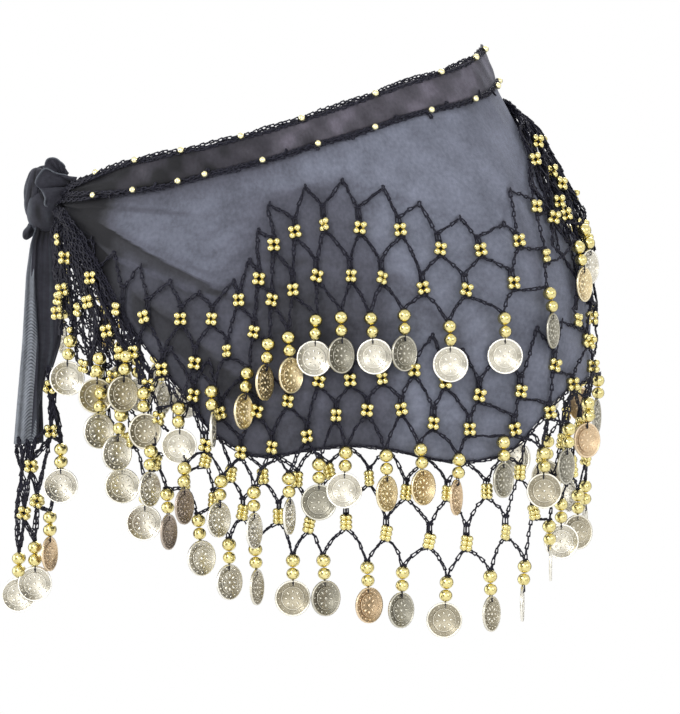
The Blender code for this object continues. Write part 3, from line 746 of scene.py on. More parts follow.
flower = {
    "across": 1.85, "upright": 1.9, "forward": 1.4,  # the beads' places about its middle
    "narrow": 0.8, "close": 2.6,  # beads in three rows stand closer
    "half": 4.0, "stem": 0.3, "tallStem": 0.55,
    "turns": (0, 0, 0, 25, -30, 50), "uneven": 12, "roll": 16,  # in degrees
    "towards": 0.8, "atEnds": 2,  # how flat the front's flowers lie, and how much more at both ends
    "byKnot": (38, 14, 3.5),  # angle, fade and rise of the flowers that lie on top
}
stitches = {
    "slip": 0.4, "legSlip": 0.35,  # how far apart, in degrees, strands start and a stem's legs run
    "footHalf": 0.55, "footRise": 0.5,  # the tight stitch that closes each strand
    "coinGap": 0.4, "aboveCoin": 2.4, "inCoin": 2.6,  # the stitch that holds a coin by its edge
}
coinsFacing = {  # at the front, from the knot round: degrees off the view, and the finish's letter
    "upper": ((12, 12, 35, 28, 6, 84, 61, 63, 50, 10, 43, 3, 46, 8, 3, 68, 62, 58, 74),
              "pwwwppgggpdpdppdgpd"),
    "middle": ((35, 38, 57, 62, 52, 66, 73, 8, 0, 55, 48, 70, 55, 5, 60, 40, 74), "pppbpppdpggrdwdrd"),
    "lower": ((15, 10, 66, 42, 47, 70, 8, 38, 42, 45, 5, 60, 84, 86, 5, 30, 80), "ppbppwwdrdwwpppwp"),
}
finishLetters = "pgrdbw"  # pale, gold, rose, dark grey, brown, worn
drop = {  # how far below its loop each bead and the coin hang, and how far each may lean
    "beads": (3.6, 10.9), "beadSize": (1.0, 0.93), "coin": 24.6, "lean": 5,
    "edgeIn": 4.5, "beadShare": 0.25,  # a coin whose edge points further in hangs further out, beads less
    "backYaws": (0, 8, -12, 20, 45, -50, 62), "backFinishes": (0, 0, 0, 5, 0, 1, 1, 2, 3),
    "hipYaws": (0, 5, -8), "edgeYaws": (42,), "edgeAngles": (312, 322),  # edge on where the front has a gap
}
zUp = np.array((0, 0, 1.0))


def seenAt(place, y):
    # the point with this y that is seen at a place in the front view
    eye = np.array(view["place"]) / mm
    nearer = (y - eye[1]) / -eye[1]
    x = (place[0] - view["origin"][0]) * view["step"]
    z = (view["origin"][1] - place[1]) * view["step"]
    return np.array((eye[0] + (x - eye[0]) * nearer, y, eye[2] + (z - eye[2]) * nearer))


def seenFrom(places, out):
    # the (angle, height) on the hips' surface that is seen at each place in the front view
    angles = np.arange(3, 180.1, 0.5)
    result = []
    for place in places:
        y = -90.0
        for _ in range(6):  # closes in on the surface
            x, _, height = seenAt(place, y)
            points = netPoint(angles, height, out)
            angle = np.interp(x, points[:, 0], angles)
            y = np.interp(angle, angles, points[:, 1])
        result.append((angle, height))
    return result


def tierPlaces(tier):
    # each row's nodes as column: (angle, height), from the knot round the front and back to it
    setting = tiers[tier]
    back = dict(zip(backColumns, np.array(backRows[tier], float).T))
    numbers, angles = np.array(backAngles[tier], float).T
    last = int(numbers[-1])
    nodes = []
    for number, row in enumerate(("peak", "first", "second", "drop")):
        shift = setting["firstShift"] if number % 2 == 0 else 0.5 - setting["firstShift"]
        out = setting["row"] + setting["forward"] if row == "drop" else setting["net"]
        level = {step + shift: place for step, place in enumerate(seenFrom(frontRows[tier][row], out))}
        column = len(level) + shift
        while column <= 2 * last:
            mirrored = 2 * last - column
            angle = 360 - float(np.interp(mirrored, numbers, angles))
            level[column] = (angle, float(np.interp(mirrored, back["column"], back[row])))
            column += 1
        if tier == "lower" and row == "peak":
            for column, (angle, _) in level.items():
                level[column] = (angle, float(edgeHeight("hem", angle)) - 1.0)
        nodes.append(level)
    return nodes


def flowerFrames(angle, height, out, rows=2):
    # the beads of one flower: two columns, turned and tilted a little; by the knot they lie on top
    start, fade, rise = flower["byKnot"]
    out = out + rise * falling(angle, start, fade)
    centre = netPoint(angle, height, out)
    outwards = hipOutwards(angle, height)
    if angle < 182:  # the front's flowers lie rather flat to the view
        ends = falling(angle, 20, 50) + rising(angle, 150, 25)
        outwards = unit(outwards + (0, -flower["towards"] - flower["atEnds"] * ends, 0))
    uneven, most = flower["uneven"], flower["roll"]
    turned = math.radians(chance.choice(flower["turns"]) + chance.uniform(-uneven, uneven))
    roll = math.radians(chance.uniform(-most, most))
    aside = unit(np.cross(zUp, outwards))
    across = aside * math.cos(turned) + outwards * math.sin(turned)
    right = across * math.cos(roll) + zUp * math.sin(roll)
    upright = zUp * math.cos(roll) - across * math.sin(roll)
    wide, pitch = flower["across"], flower["upright"] * 2
    if rows > 2:
        wide, pitch = wide * flower["narrow"], flower["close"]
    for level in range(rows):
        for column in (-1, 1):
            forward = flower["forward"] + chance.uniform(-0.3, 0.5)
            yield (centre + right * wide * column + upright * pitch * (level - (rows - 1) / 2)
                   + outwards * forward)


def stemHeight(tier, nodes, level, column):
    # from a flower's middle up to where its strands meet
    share = flower["tallStem"] if tier == "upper" and level == 1 else flower["stem"]
    sides = [column + side for side in (0.5, -0.5) if column + side in nodes[level - 1]]
    above = min(nodes[level - 1][side][1] for side in sides)
    spare = above - nodes[level][column][1] - 2 * flower["half"]
    return flower["half"] + max(0.5, share * spare)


def buildTier(tier):
    setting = tiers[tier]
    nodes = tierPlaces(tier)
    out = setting["net"]
    for level in nodes[1:3]:
        for column, (angle, height) in level.items():
            if angle > 170:
                level[column] = (angle + chance.uniform(-0.5, 0.5), height + chance.uniform(-1.2, 1.2))
    chains, beads, rowChains = [], [], []
    for number in range(3):
        isDrop = number == 2
        below = flower["half"] if number else 0
        endOut = setting["row"] + 0.7 * setting["forward"] if isDrop else out
        for column, (angle, height) in nodes[number].items():
            for shift, slip in ((0.5, stitches["slip"]), (-0.5, -stitches["slip"])):
                if column + shift not in nodes[number + 1]:
                    continue
                farAngle, farHeight = nodes[number + 1][column + shift]
                stem = 0 if isDrop else stemHeight(tier, nodes, number + 1, column + shift)
                path = strand((angle + slip, height - below, out),
                              (farAngle - slip * 0.5, farHeight + stem, endOut), setting["arches"][number])
                (rowChains if isDrop else chains).append(path)
    for number in (1, 2):
        for column, (angle, height) in nodes[number].items():
            beads.extend(flowerFrames(angle, height, out, setting["rows"]))
            tall = stemHeight(tier, nodes, number, column)
            for slip in (-stitches["legSlip"], stitches["legSlip"]):  # the stem's legs, down to the beads
                chains.append(np.array(((angle + slip, height + tall + 0.5, out),
                                        (angle + slip, height + tall / 2 - 0.5, out),
                                        (angle + slip, height - flower["half"], out))))
    knots = []
    half, rise = stitches["footHalf"], stitches["footRise"]
    for chain in chains + rowChains:
        angle, height, end = chain[-1]
        turn = chance.uniform(-0.5, 0.5)
        knots.append(np.array(((angle - half, height + turn, end + rise),
                               (angle + half, height - turn, end + rise))))
    for angle, height in nodes[0].values():  # a picot at each peak
        chains.append(np.array(((angle, height - 1, out), (angle + 0.3, height + setting["picot"], out))))
    return chains + knots, beads, rowChains, nodes[3]


def hang(tier, angle, height, below, forward):
    # a point of a drop: against the cloth, or free below the hips' widest level
    level = height - below
    rest = max(level, min(height, hips["widest"]))
    out = tiers[tier]["row"] + tiers[tier]["forward"] * forward
    point = netPoint(angle, rest, out)
    point[2] = level
    return point


def facingAt(yaw):
    # the level direction at degrees off the front
    return np.array((math.sin(math.radians(yaw)), -math.cos(math.radians(yaw)), 0))


def turnedAxes(facing, lean):
    # a coin's axes: across, through and upwards, from the direction that it faces
    aside = np.cross(zUp, unit(facing))
    across = aside * math.cos(lean) + zUp * math.sin(lean)
    return np.stack((across, -unit(facing), zUp * math.cos(lean) - aside * math.sin(lean)))


def coinLoop(centre, facing, slant=0.0):
    # the ends and the side of the stitch that holds a coin by its top edge
    top = centre + zUp * (coin["radius"] - stitches["coinGap"]) - np.asarray(slant) * coin["radius"]
    return top + zUp * stitches["aboveCoin"], top - zUp * stitches["inCoin"], np.cross(zUp, facing)


def turnedAbout():
    # upright axes, turned about the thread at random
    return np.array(Matrix.Rotation(chance.uniform(0, 6), 3, "Z").transposed())


def plainAxes(centres):
    return np.array([turnedAbout() for _ in centres])


def backFacing(angle, outwards):
    # how a coin behind faces, and its finish
    first, last = drop["edgeAngles"]
    yaws = drop["edgeYaws"] if first < angle < last else drop["hipYaws" if angle < 194 else "backYaws"]
    yaw = math.radians(chance.choice(yaws) + chance.uniform(-8, 8))
    turned = np.array(Matrix.Rotation(yaw, 3, "Z") @ Vector(outwards))
    return turned, chance.choice(drop["backFinishes"])


def buildDrops(tier, points):
    beads, beadAxes, coins, coinAxes, finishes, loops = [], [], [], [], [], []
    yaws, letters = coinsFacing[tier]
    for number, (angle, height) in enumerate(points.values()):
        outwards = unit(hipOutwards(angle, height) * (1, 1, 0))
        if number < len(yaws):
            facing, finish = facingAt(yaws[number]), finishLetters.index(letters[number])
        else:
            facing, finish = backFacing(angle, outwards)
        lean = math.radians(chance.uniform(-drop["lean"], drop["lean"]))
        slant = unit(np.cross(zUp, outwards)) * math.tan(lean)
        inwards = abs(float(np.dot(np.cross(zUp, facing), outwards)))  # how far an edge points inwards
        clear = max(0.0, inwards * coin["radius"] - drop["edgeIn"])
        shift = clear if tiers[tier]["forward"] else 0.0
        for place, (below, size) in enumerate(zip(drop["beads"], drop["beadSize"])):
            beads.append(hang(tier, angle, height, below, 1.0) + slant * below
                         + outwards * shift * drop["beadShare"] * (place + 1))
            beadAxes.append(turnedAbout() * size)
        below = drop["coin"]
        centre = hang(tier, angle, height, below, 0.7) + slant * below + outwards * shift
        coins.append(centre)
        coinAxes.append(turnedAxes(facing, -lean))
        finishes.append(finish)
        loops.append(coinLoop(centre, facing, slant))
    centres, axes = stitchFrames(*(np.array(values) for values in zip(*loops)), 0)
    thinner = np.array((1, 0.9, 0.9))[None, :, None]
    return (beads, np.array(beadAxes)), (coins, np.array(coinAxes), finishes), (centres, axes * thinner)


gathers = {  # where the nets draw together: at the knot and over the right hip
    # rows of a fan from its top down: each row's first and last place in the front view
    "fromKnot": (((56, 207), (63, 211)), ((53, 228), (76, 228)), ((53, 250), (92, 248)),
                 ((54, 272), (100, 272)), ((57, 295), (110, 298)), ((61, 318), (121, 322)),
                 ((68, 340), (134, 346)), ((78, 362), (148, 372))),
    # the same behind, as (angle, height)
    "behind": (((355, -50), (352, -50)), ((357, -62), (345, -60)), ((357, -74), (338, -70)),
               ((356, -86), (331, -80)), ((354, -98), (325, -90)), ((351, -108), (320, -100))),
    "flowers": ((69, 290), (64, 313), (94, 302), (124, 353)),
    "single": ((57, 236.5), (57.5, 242.5), (70, 330)),
    "hipEdge": ((512, 104), (519, 130), (524, 155), (530, 185), (541, 218), (553, 248), (564, 280),
                (572, 310), (576, 338)),
    "hipFar": ((181, 16), (184, 3), (187, -11), (190, -26), (193, -42), (196, -58), (198, -73), (199, -88),
               (198, -104)),
    "hipFlowers": ((537, 142), (534, 160), (561, 184), (558, 202), (553, 218), (581, 226), (586, 240),
                   (577, 320), (591, 318), (589, 342)),
    "farFlowers": ((187, -8), (191, -28), (186, -40), (195, -48), (189, -64)),
    "layers": ((4, 2.2), (5, 3.8)),  # columns, and how far out each layer lies
    "hipLayers": ((5, -6.5, 5), (5, -1.5, 8), (6, 1.0, 6), (4, 2.6, 9)),  # columns, out, rows
    "bundles": (((57, 210), (64, 262), (70, 300), (74, 332)),
                ((58, 212), (74, 262), (90, 310), (100, 348)),
                ((60, 212), (84, 262), (108, 316), (129, 362)),
                ((62, 213), (94, 262), (124, 322), (143, 384)),
                ((61, 212), (80, 270), (96, 318), (92, 366)),
                ((56, 210), (57, 260), (60, 300), (63, 335))),
    "strands": (3, 2.5, 6.0, 3.5),  # in a bundle: how many, how far out from and to, and how far apart
    "wave": (0.0, 3.0),  # how far a bundle's strands wave, and how often
    "arch": (0.08, 1.5), "loose": (0.5, 1.8),  # of a fan's strands, and how far off its nodes lie
}


def fanNet(rows, columns, out):
    # a net of diamonds from row to row; every second row has one more node
    nodes = []
    aside, upright = gathers["loose"]
    for number, (first, last) in enumerate(rows):
        first, last = np.asarray(first, float), np.asarray(last, float)
        shares = (np.arange(columns + number % 2) + (0.0 if number % 2 else 0.5)) / columns
        nodes.append([first + (last - first) * share
                      + (chance.uniform(-aside, aside), chance.uniform(-upright, upright))
                      for share in shares])
    chains = []
    for number, (upper, lower) in enumerate(zip(nodes, nodes[1:])):
        for place, node in enumerate(upper):
            for other in (place - number % 2, place + 1 - number % 2):
                if 0 <= other < len(lower):
                    chains.append(strand((*node, out), (*lower[other], out), *gathers["arch"]))
    return chains


def gatherAtKnot():
    chains, beads = [], []
    for columns, out in gathers["layers"]:
        firsts, lasts = (seenFrom(places, out) for places in zip(*gathers["fromKnot"]))
        chains += fanNet(list(zip(firsts, lasts)), columns, out)
        chains += fanNet(gathers["behind"], columns - 1, out)
    count, nearest, furthest, apart = gathers["strands"]
    for stops in gathers["bundles"]:
        for _ in range(count):
            out = chance.uniform(nearest, furthest)
            moved = np.array(stops, float)
            moved[1:, 0] += [chance.uniform(-apart, apart) for _ in stops[1:]]
            path = [(angle, height, out) for angle, height in seenFrom(moved, out)]
            chains.append(loosePath(path, *gathers["wave"]))
    for angle, height in seenFrom(gathers["flowers"], 5):
        beads.extend(flowerFrames(angle, height, 5))
    for angle, height in seenFrom(gathers["single"], 8):
        beads.append(netPoint(angle, height, 8))
    return chains, beads


def gatherAtHip():
    chains, beads = [], []
    for columns, out, depth in gathers["hipLayers"]:
        rows = list(zip(seenFrom(gathers["hipEdge"], out), gathers["hipFar"]))[:depth]
        for chain in fanNet(rows, columns, out):
            chain[:, 2] = np.maximum(chain[:, 2], 1.3 - sideLift(chain[:, 0], chain[:, 1]))
            chains.append(chain)
    for places, out in ((seenFrom(gathers["hipFlowers"], 3), 3), (gathers["farFlowers"], 3.5)):
        for angle, height in places:
            beads.extend(flowerFrames(angle, height, out))
    return chains, beads


tierNodes = {
    "upper": (("net_upper",), "coins_upper"),
    "middle": (("net_middle",), "coins_middle"),
    "lower": (("net_lower_front", "net_lower_back"), "coins_lower"),
}
dressed = []  # everything worked on the cloth, which would go with it
for tier, (netNodes, coinNode) in tierNodes.items():
    chains, beads, rowChains, dropPoints = buildTier(tier)
    if tier == "lower":  # the crochet edging of the hem
        around = np.arange(6, 354.5, 1.4)
        chains.append(chainOn(around, edgeHeight("hem", around) + 0.2, 0.5))
    label = tier.capitalize()
    net = scatter("net" + label, "link", *chainFrames(chains), yarn)
    netBeads = scatter("netBeads" + label, "smallBead", beads, plainAxes(beads), beadGold)
    dropBeads, dropCoins, loops = buildDrops(tier, dropPoints)
    rowYarn = scatter("coinRowYarn" + label, "link",
                      *(np.concatenate(both) for both in zip(chainFrames(rowChains), loops)), yarn)
    largeBeads = scatter("dropBeads" + label, "largeBead", *dropBeads, beadGold)
    centres, axes, finishes = dropCoins
    coins = scatter("coins" + label, "coin", centres, axes, *coinFinishes, slots=finishes)
    dressed += [settle(net, "crochet", *netNodes), settle(netBeads, "coins"), settle(rowYarn, "crochet"),
                settle(largeBeads, "coins"), settle(coins, "coins", coinNode)]
    print(tier, "tier:", len(net.data.polygons), "net faces,", len(coins.data.polygons), "coin faces")

for name, (chains, beads) in (("netByKnot", gatherAtKnot()), ("netByHip", gatherAtHip())):
    net = scatter(name, "link", *chainFrames(chains), yarn)
    netBeads = scatter(name + "Beads", "smallBead", beads, plainAxes(beads), beadGold)
    dressed += [settle(net, "crochet"), settle(netBeads, "coins")]
    print(name, len(net.data.polygons), "faces")


# cloth, as grids with a thin wall
def clothGrid(name, columns, rows, place, finish, thickness, inwards=None):
    # a grid laid where place(u, v) says, with its flat position in metres as its UV; place also gives how
    # dark the cloth is, as painted shade and painted light with the darker tone of doubled cloth, and may
    # give the phase and strength of its moire
    bpy.ops.mesh.primitive_grid_add(x_subdivisions=columns, y_subdivisions=rows, size=2)
    made = bpy.context.object
    made.name = made.data.name = name
    mesh = made.data
    x, y, _ = readValues(mesh.vertices, "co", width=3).T
    u, v = (x + 1) / 2, (1 - y) / 2
    points, flat, shade, *moire = place(u, v)
    mesh.vertices.foreach_set("co", (points * mm).ravel())
    corners = readValues(mesh.loops, "vertex_index", int)
    while mesh.uv_layers:
        mesh.uv_layers.remove(mesh.uv_layers[0])
    mesh.uv_layers.new(name="clothUV").data.foreach_set("uv", (flat * mm)[corners].ravel())
    # the layers attribute carries painted shade and painted light as well as the doubled cloth's tone
    for attributeName, values in zip(("layers", "ripple", "moire"), (np.clip(shade, 0, 1), *moire)):
        mesh.attributes.new(attributeName, "FLOAT", "POINT").data.foreach_set("value", values)
    mesh.polygons.foreach_set("use_smooth", np.ones(len(mesh.polygons), bool))
    mesh.materials.append(finish)
    mesh.update()
    if inwards is not None:
        middle = mesh.polygons[len(mesh.polygons) // 2]
        if Vector(inwards(middle.center / mm)).dot(middle.normal) > 0:
            editAll(bpy.ops.mesh.flip_normals)
    shell = made.modifiers.new("wall", "SOLIDIFY")
    shell.thickness = thickness * mm
    shell.offset = -1
    bpy.ops.object.modifier_apply(modifier=shell.name)
    print(name, len(mesh.polygons), "faces")
    return made


def towardsAxis(point):
    return (-point[0], -point[1], 0)


panel = {
    "start": 3.5, "end": 356.5, "columns": 352, "rows": 72, "wall": 0.8,
    "crowd": 0.4,  # how much closer the columns are by the knot
    "underBand": 0.05, "topGap": 2.5,  # the share that lies under the waistband, and how far below its top
    "rise": 1.1, "unevenness": ((9, 0.03, 0, 0.35), (17, -0.05, 1, 0.25)),
    "puckers": (0.4, 0.05),  # under the nets: how deep, and how much painted shade
    "curl": (0.5, 2.5),  # how far the hem's edge turns in, and how wide
}
creases = (  # a path of (angle, height), half width, rise, how much painted shade it adds (painted light where less than nothing), and the share left at its end
    (((6, -44), (24, -47.5), (36, -49.5), (52, -53)), 1.3, 1.0, 0.5, 0.3),
    (((8, -43), (24, -45), (40, -45)), 1.8, 0.6, 0.55, 0.15),
    (((6, -46), (19, -49), (33, -59.5), (44, -73.5), (62, -93.5), (76, -107)), 2.4, 1.0, 0.08, 0.5),
    (((8, -50), (23, -62), (34, -77), (41, -83), (53, -94), (68, -103)), 1.6, 0.8, -0.12, 0.5),
    (((12, -50), (30, -58), (46, -74), (64, -92)), 1.2, 0.5, 0.12, 0.5),
    (((41, -99), (50, -112), (67, -146), (74, -154)), 3.0, 1.0, 0.15, 0.6),
    (((72, -78), (84, -80), (97, -80)), 2.0, 0.4, 0.2, 0.7),
    (((70, -149), (84, -150), (100, -152)), 2.5, 0.4, 0.18, 0.6),
    (((88, -28), (104, -26), (122, -22)), 4.0, 0.5, -0.06, 0.6),
    (((100, -50), (118, -44), (140, -36)), 5.0, 0.6, 0.1, 0.6),
    (((146, 5), (149, -20), (147, -60), (148, -100)), 4.0, 0.6, 0.13, 0.8),
    (((110, -90), (124, -120), (131, -160)), 5.0, 0.6, 0.11, 1.0),
    (((104, -100), (99, -130), (101, -170)), 4.0, 0.4, 0.06, 1.0),
    (((140, -70), (136, -110), (138, -150)), 4.0, 0.4, -0.06, 1.0),
    (((84, -112), (90, -140), (88, -176)), 3.0, 0.4, -0.06, 1.0),
    (((158, 12), (163, -30), (165, -80), (164, -120)), 4.0, 0.8, 0.1, 0.8),
    (((354, -44), (336, -48), (322, -50)), 2.0, 1.2, 0.45, 0.3),
    (((354, -46), (341, -51), (327, -59), (312, -67), (292, -75)), 2.4, 1.0, 0.1, 0.25),
    (((352, -50), (338, -58), (322, -68), (305, -78)), 2.0, 0.8, -0.1, 0.5),
    (((288, -30), (268, -34), (250, -32)), 4.0, 0.6, 0.1, 0.6),
    (((262, -50), (244, -48), (226, -40)), 5.0, 0.5, 0.07, 0.6),
    (((214, 0), (211, -30), (213, -70), (212, -100)), 4.0, 0.6, 0.1, 0.8),
    (((197, 14), (194, -30), (196, -80)), 4.0, 0.7, 0.08, 0.8),
)


def pathDistance(angle, height, path):
    # how far each place is from the path, and its share along it
    points = np.array(path, float) * (folds["arc"], 1)
    here = flatPlace(angle, height)
    nearest, share = np.full(angle.shape, 1e9), np.zeros(angle.shape)
    for number, (first, second) in enumerate(zip(points, points[1:])):
        along = second - first
        part = np.clip(((here - first) @ along) / (along @ along), 0, 1)
        distance = np.linalg.norm(here - first - part[..., None] * along, axis=-1)
        share = np.where(distance < nearest, (number + part) / (len(points) - 1), share)
        nearest = np.minimum(nearest, distance)
    return nearest, share


knotGather = {
    # how far the painted shade by the knot reaches in each direction from where the folds start
    "direction": (-90, -60, -40, -28, -16, -8, 0, 10),
    "reach": (100, 120, 118, 106, 92, 84, 80, 78),
    "pleats": ((17, 0.6, 1.0), (29, 2.0, 0.5)),  # how many, their phase and height
    "height": 0.8, "start": 8, "width": 75,
    # painted shade by the knot, and painted light and shade on its pleats
    "dark": 0.8, "darkest": 0.42, "pleatShade": (0.05, -0.16),
}
netPull = {"width": 1.8, "dip": 0.35, "shade": 0.13, "sag": 1.5}  # drawn tight between the net's peaks, with painted shade along the dip


def clothRise(angle, height):
    # creases, gathers at the knot and soft unevenness, and the painted shade and light each puts on the
    # cloth
    rise = np.zeros(angle.shape)
    shade = np.zeros(angle.shape)
    for path, halfWidth, tall, dark, left in creases:
        distance, share = pathDistance(angle, height, path)
        near = bell(distance, halfWidth * (1.2 - 0.4 * share))
        rise += tall * near
        shade += dark * near * (1 - (1 - left) * share)
    distance, direction = aboutKnot(angle, height)
    gather = falling(distance, knotGather["start"], knotGather["width"])
    reach = np.interp(direction, knotGather["direction"], knotGather["reach"])
    pleats = sum(tall * np.sin(np.radians(direction) * count + phase)
                 for count, phase, tall in knotGather["pleats"])
    rise += gather * pleats * knotGather["height"]
    plain, pleated = knotGather["pleatShade"]
    shade += gather * (plain + pleated * pleats) + knotGather["dark"] * falling(distance / reach, 0.7, 0.3)
    shade += knotGather["darkest"] * falling(distance, 9, 28)
    peaks = seenFrom(frontRows["upper"]["peak"][2:], tiers["upper"]["net"])
    for (angleA, heightA), (angleB, heightB) in zip(peaks, peaks[1:]):
        middle = ((angleA + angleB) / 2, (heightA + heightB) / 2 - netPull["sag"])
        distance, _ = pathDistance(angle, height, ((angleA, heightA), middle, (angleB, heightB)))
        near = bell(distance, netPull["width"])
        rise -= netPull["dip"] * near
        shade += netPull["shade"] * near
    turn = np.radians(angle)
    for count, slope, phase, tall in panel["unevenness"]:
        rise += tall * np.sin(turn * count + height * slope + phase)
    return rise, shade


doubledFold = {  # heights of the fold's upper and lower edges, by degrees from the knot
    "front": {"upper": ((4, 19, 33, 44, 62, 74), (-47, -51, -62, -76, -96, -108)),
              "lower": ((4, 23, 34, 41, 53, 66, 78), (-50, -63, -78, -84, -95, -103, -109))},
    "back": {"upper": ((4, 19, 33, 48, 68), (-47, -52, -60, -68, -76)),
             "lower": ((4, 22, 38, 55, 68), (-50, -58, -68, -78, -80))},
    "wedge": ((38, 41, 50, 67, 74), (-92, -99, -112, -146, -158)), "wedgeDepth": 14,
    # dark: the doubled cloth; shadow: painted shadow under the upper edge; ridge: painted highlight along
    # the lower edge
    "dark": 0.38, "shadow": 0.55, "ridge": 0.22, "wedgeDark": 0.24, "below": {"front": 0.42, "back": 0.34},
}


def doubled(angle, height):
    # where the cloth lies double: the fold below the knot's creases, and the wedge at the lower edge; with
    # a painted shadow under the fold's upper edge and a painted highlight along its lower edge
    front = angle < 180
    near = fromKnot(angle)
    upper, lower = (np.where(front, np.interp(near, *doubledFold["front"][edge]),
                             np.interp(near, *doubledFold["back"][edge])) for edge in ("upper", "lower"))
    under, over = upper - height, height - lower
    inside = rising(under, -0.6, 1.2) * rising(over, -0.8, 1.6) * falling(near, 62, 16)
    shadow = doubledFold["shadow"] * np.exp(-np.maximum(under, 0) / 5) * falling(near, 34, 40)
    ridge = doubledFold["ridge"] * bell(over - 0.8, 1.2) * falling(near, 40, 20)
    intoWedge = np.interp(near, *doubledFold["wedge"]) - height
    wedge = rising(intoWedge, -0.6, 1.4) * falling(intoWedge, doubledFold["wedgeDepth"], 3)
    wedge = wedge * front * rising(near, 38, 3) * falling(near, 70, 8)
    below = rising(-over, -0.5, 2.5) * falling(near, 50, 24)
    below = below * np.where(front, doubledFold["below"]["front"], doubledFold["below"]["back"])
    return (doubledFold["dark"] + shadow) * inside - ridge + doubledFold["wedgeDark"] * wedge + below


panelTones = {
    "lower": ((58, 50, 0.3), (120, 60, 0.12)),  # darker from this depth on: depth, width, dark
    "underBand": ((7, 0.16), (17, 0.18)),  # painted shadow under the waistband: width, dark
    "patches": (  # painted shade under the upper net's peaks: angle, half width, depth and width of the upper and of the lower edge, dark
        (82, 14, 36, 10, 122, 16, 0.2),
        (89, 9, 37, 6, 60, 12, 0.13),
    ),
    # painted shade close to the knot: to this angle, fading over the next, and how dark
    "atKnot": (11, 10, 0.6),
    "right": 0.9,  # how much less of this there is at the right
    "whole": -0.03,
    "clear": (0.09, 0.3),  # away from the right, tones under the second are darker by the first
    "lit": (0.07, -70, 40),  # painted light on the right's top: how much lighter, from which height, and its fade
}


def panelShade(angle, height, band):
    # broad light and dark areas: darker towards the bottom away from the right hip, a painted shadow under
    # the waistband, and painted shade down the middle and by the knot
    near = fromKnot(angle)
    right = rising(angle, 98, 16) * falling(angle, 176, 30)
    away = rising(near, 55, 20) * (1 - panelTones["right"] * right)
    shade = sum(dark * away * rising(-height, depth, width) for depth, width, dark in panelTones["lower"])
    (edgeWidth, edgeDark), (farWidth, farDark) = panelTones["underBand"]
    shade = shade + edgeDark * falling(band - height, 0, edgeWidth) + panelTones["whole"]
    shade = shade + farDark * falling(band - height, 0, farWidth) * (1 - 0.85 * rising(near, 70, 25))
    for middle, halfWidth, upper, upperWidth, lower, lowerWidth, dark in panelTones["patches"]:
        patch = rising(-height, upper, upperWidth) * falling(-height, lower, lowerWidth)
        shade = shade + dark * bell(angle - middle, halfWidth) * patch
    start, width, dark = panelTones["atKnot"]
    return shade + dark * falling(near, start, width), right


def puckers(angle, height):
    # small ripples where the nets lie on the cloth, which dip it and carry painted shade
    bent = 2.1 * np.sin(angle * 0.13)
    ripples = np.sin(height * 0.31 + bent + 1.3 * np.sin(angle * 0.31 + height * 0.05))
    return rising(-height, 30, 30) * rising(fromKnot(angle), 40, 20) * np.abs(ripples) ** 3


def placePanel(u, v):
    crowded = u - panel["crowd"] * np.sin(2 * math.pi * u) / (2 * math.pi)
    angle = panel["start"] + (panel["end"] - panel["start"]) * crowded
    top, band, hem = (edgeHeight(edge, angle) for edge in ("top", "band", "hem"))
    share = np.clip((v - panel["underBand"]) / (1 - panel["underBand"]), 0, 1)
    top = top - panel["topGap"]
    height = np.where(v < panel["underBand"], top + (band - top) * v / panel["underBand"],
                      band + (hem - band) * share)
    rise, shade = clothRise(angle, height)
    broad, right = panelShade(angle, height, band)
    shade = shade + doubled(angle, height) + broad
    darker, clear = panelTones["clear"]
    lighter, start, fade = panelTones["lit"]
    shade = (shade + darker * (1 - right) * falling(shade, 0, clear)
             - lighter * right * rising(height, start, fade))
    netted = puckers(angle, height)
    dip, dark = panel["puckers"]
    rise = np.minimum(rise - dip * netted, panel["rise"]) * smooth(v / panel["underBand"] - 0.5)
    turn, width = panel["curl"]
    points = hipPoint(angle, height, rise - turn * bell(height - hem, width))
    return points, flatPlace(angle, height), shade + dark * netted


scarf = clothGrid("scarfPanel", panel["columns"], panel["rows"], placePanel, chiffon, panel["wall"],
                  towardsAxis)
settle(scarf, "chiffon", "scarf_panel")

waist = {
    "out": 1.3, "puff": 0.8, "columns": 352, "rows": 12, "wall": 0.9, "topGap": 1.6,
    "shade": (0.78, 0.64, 0.36, 0.4, 0.14),  # whole, less away from the knot, painted shade and light by the creases, painted shade at the knot, painted light and shade on the pleats
    "pleats": (0.7, 15),  # by the knot: how high, and how close
    "rightEnd": (168, 185, 0.3),  # painted shade from here to here, where it goes round the hip
    "edges": 0.14, "light": (141, 3.0, 0.14),  # darker at both edges, and one painted highlight: angle, half width and how much lighter
}


def placeWaistband(u, v):
    angle = panel["start"] + (panel["end"] - panel["start"]) * u
    top, band = edgeHeight("top", angle) - waist["topGap"], edgeHeight("band", angle)
    height = top + (band - top) * v
    turn = np.radians(angle)
    crease = (0.5 * np.sin(turn * 11 + v * 2.2) * np.sin(turn * 5 + 1) + 0.35 * np.sin(turn * 23 + v * 3.5)
              + 0.3 * np.sin(turn * 41 - v * 5 + 2 * np.sin(turn * 7)))
    near = falling(fromKnot(angle), 12, 28)
    tall, count = waist["pleats"]
    pleats = near * tall * np.sin(v * count)
    bulge = np.sin(math.pi * np.clip(v, 0, 1)) ** 0.6
    out = waist["out"] + (waist["puff"] + crease) * bulge + pleats * bulge
    whole, lighter, creased, knotted, pleated = waist["shade"]
    shade = whole - lighter * rising(fromKnot(angle), 20, 105) + creased * crease + knotted * near
    first, last, dark = waist["rightEnd"]
    shade = shade - pleated * pleats + dark * rising(angle, first, 7) * (angle < last)
    middle, width, lit = waist["light"]
    shade = shade + waist["edges"] * (1 - bulge) - lit * bell(angle - middle, width)
    return hipPoint(angle, height, out), flatPlace(angle, height), shade


waistCloth = clothGrid("waistbandCloth", waist["columns"], waist["rows"], placeWaistband, bandChiffon,
                       waist["wall"], towardsAxis)
settle(waistCloth, "chiffon_double", "waistband")
print("panel and waistband laid")


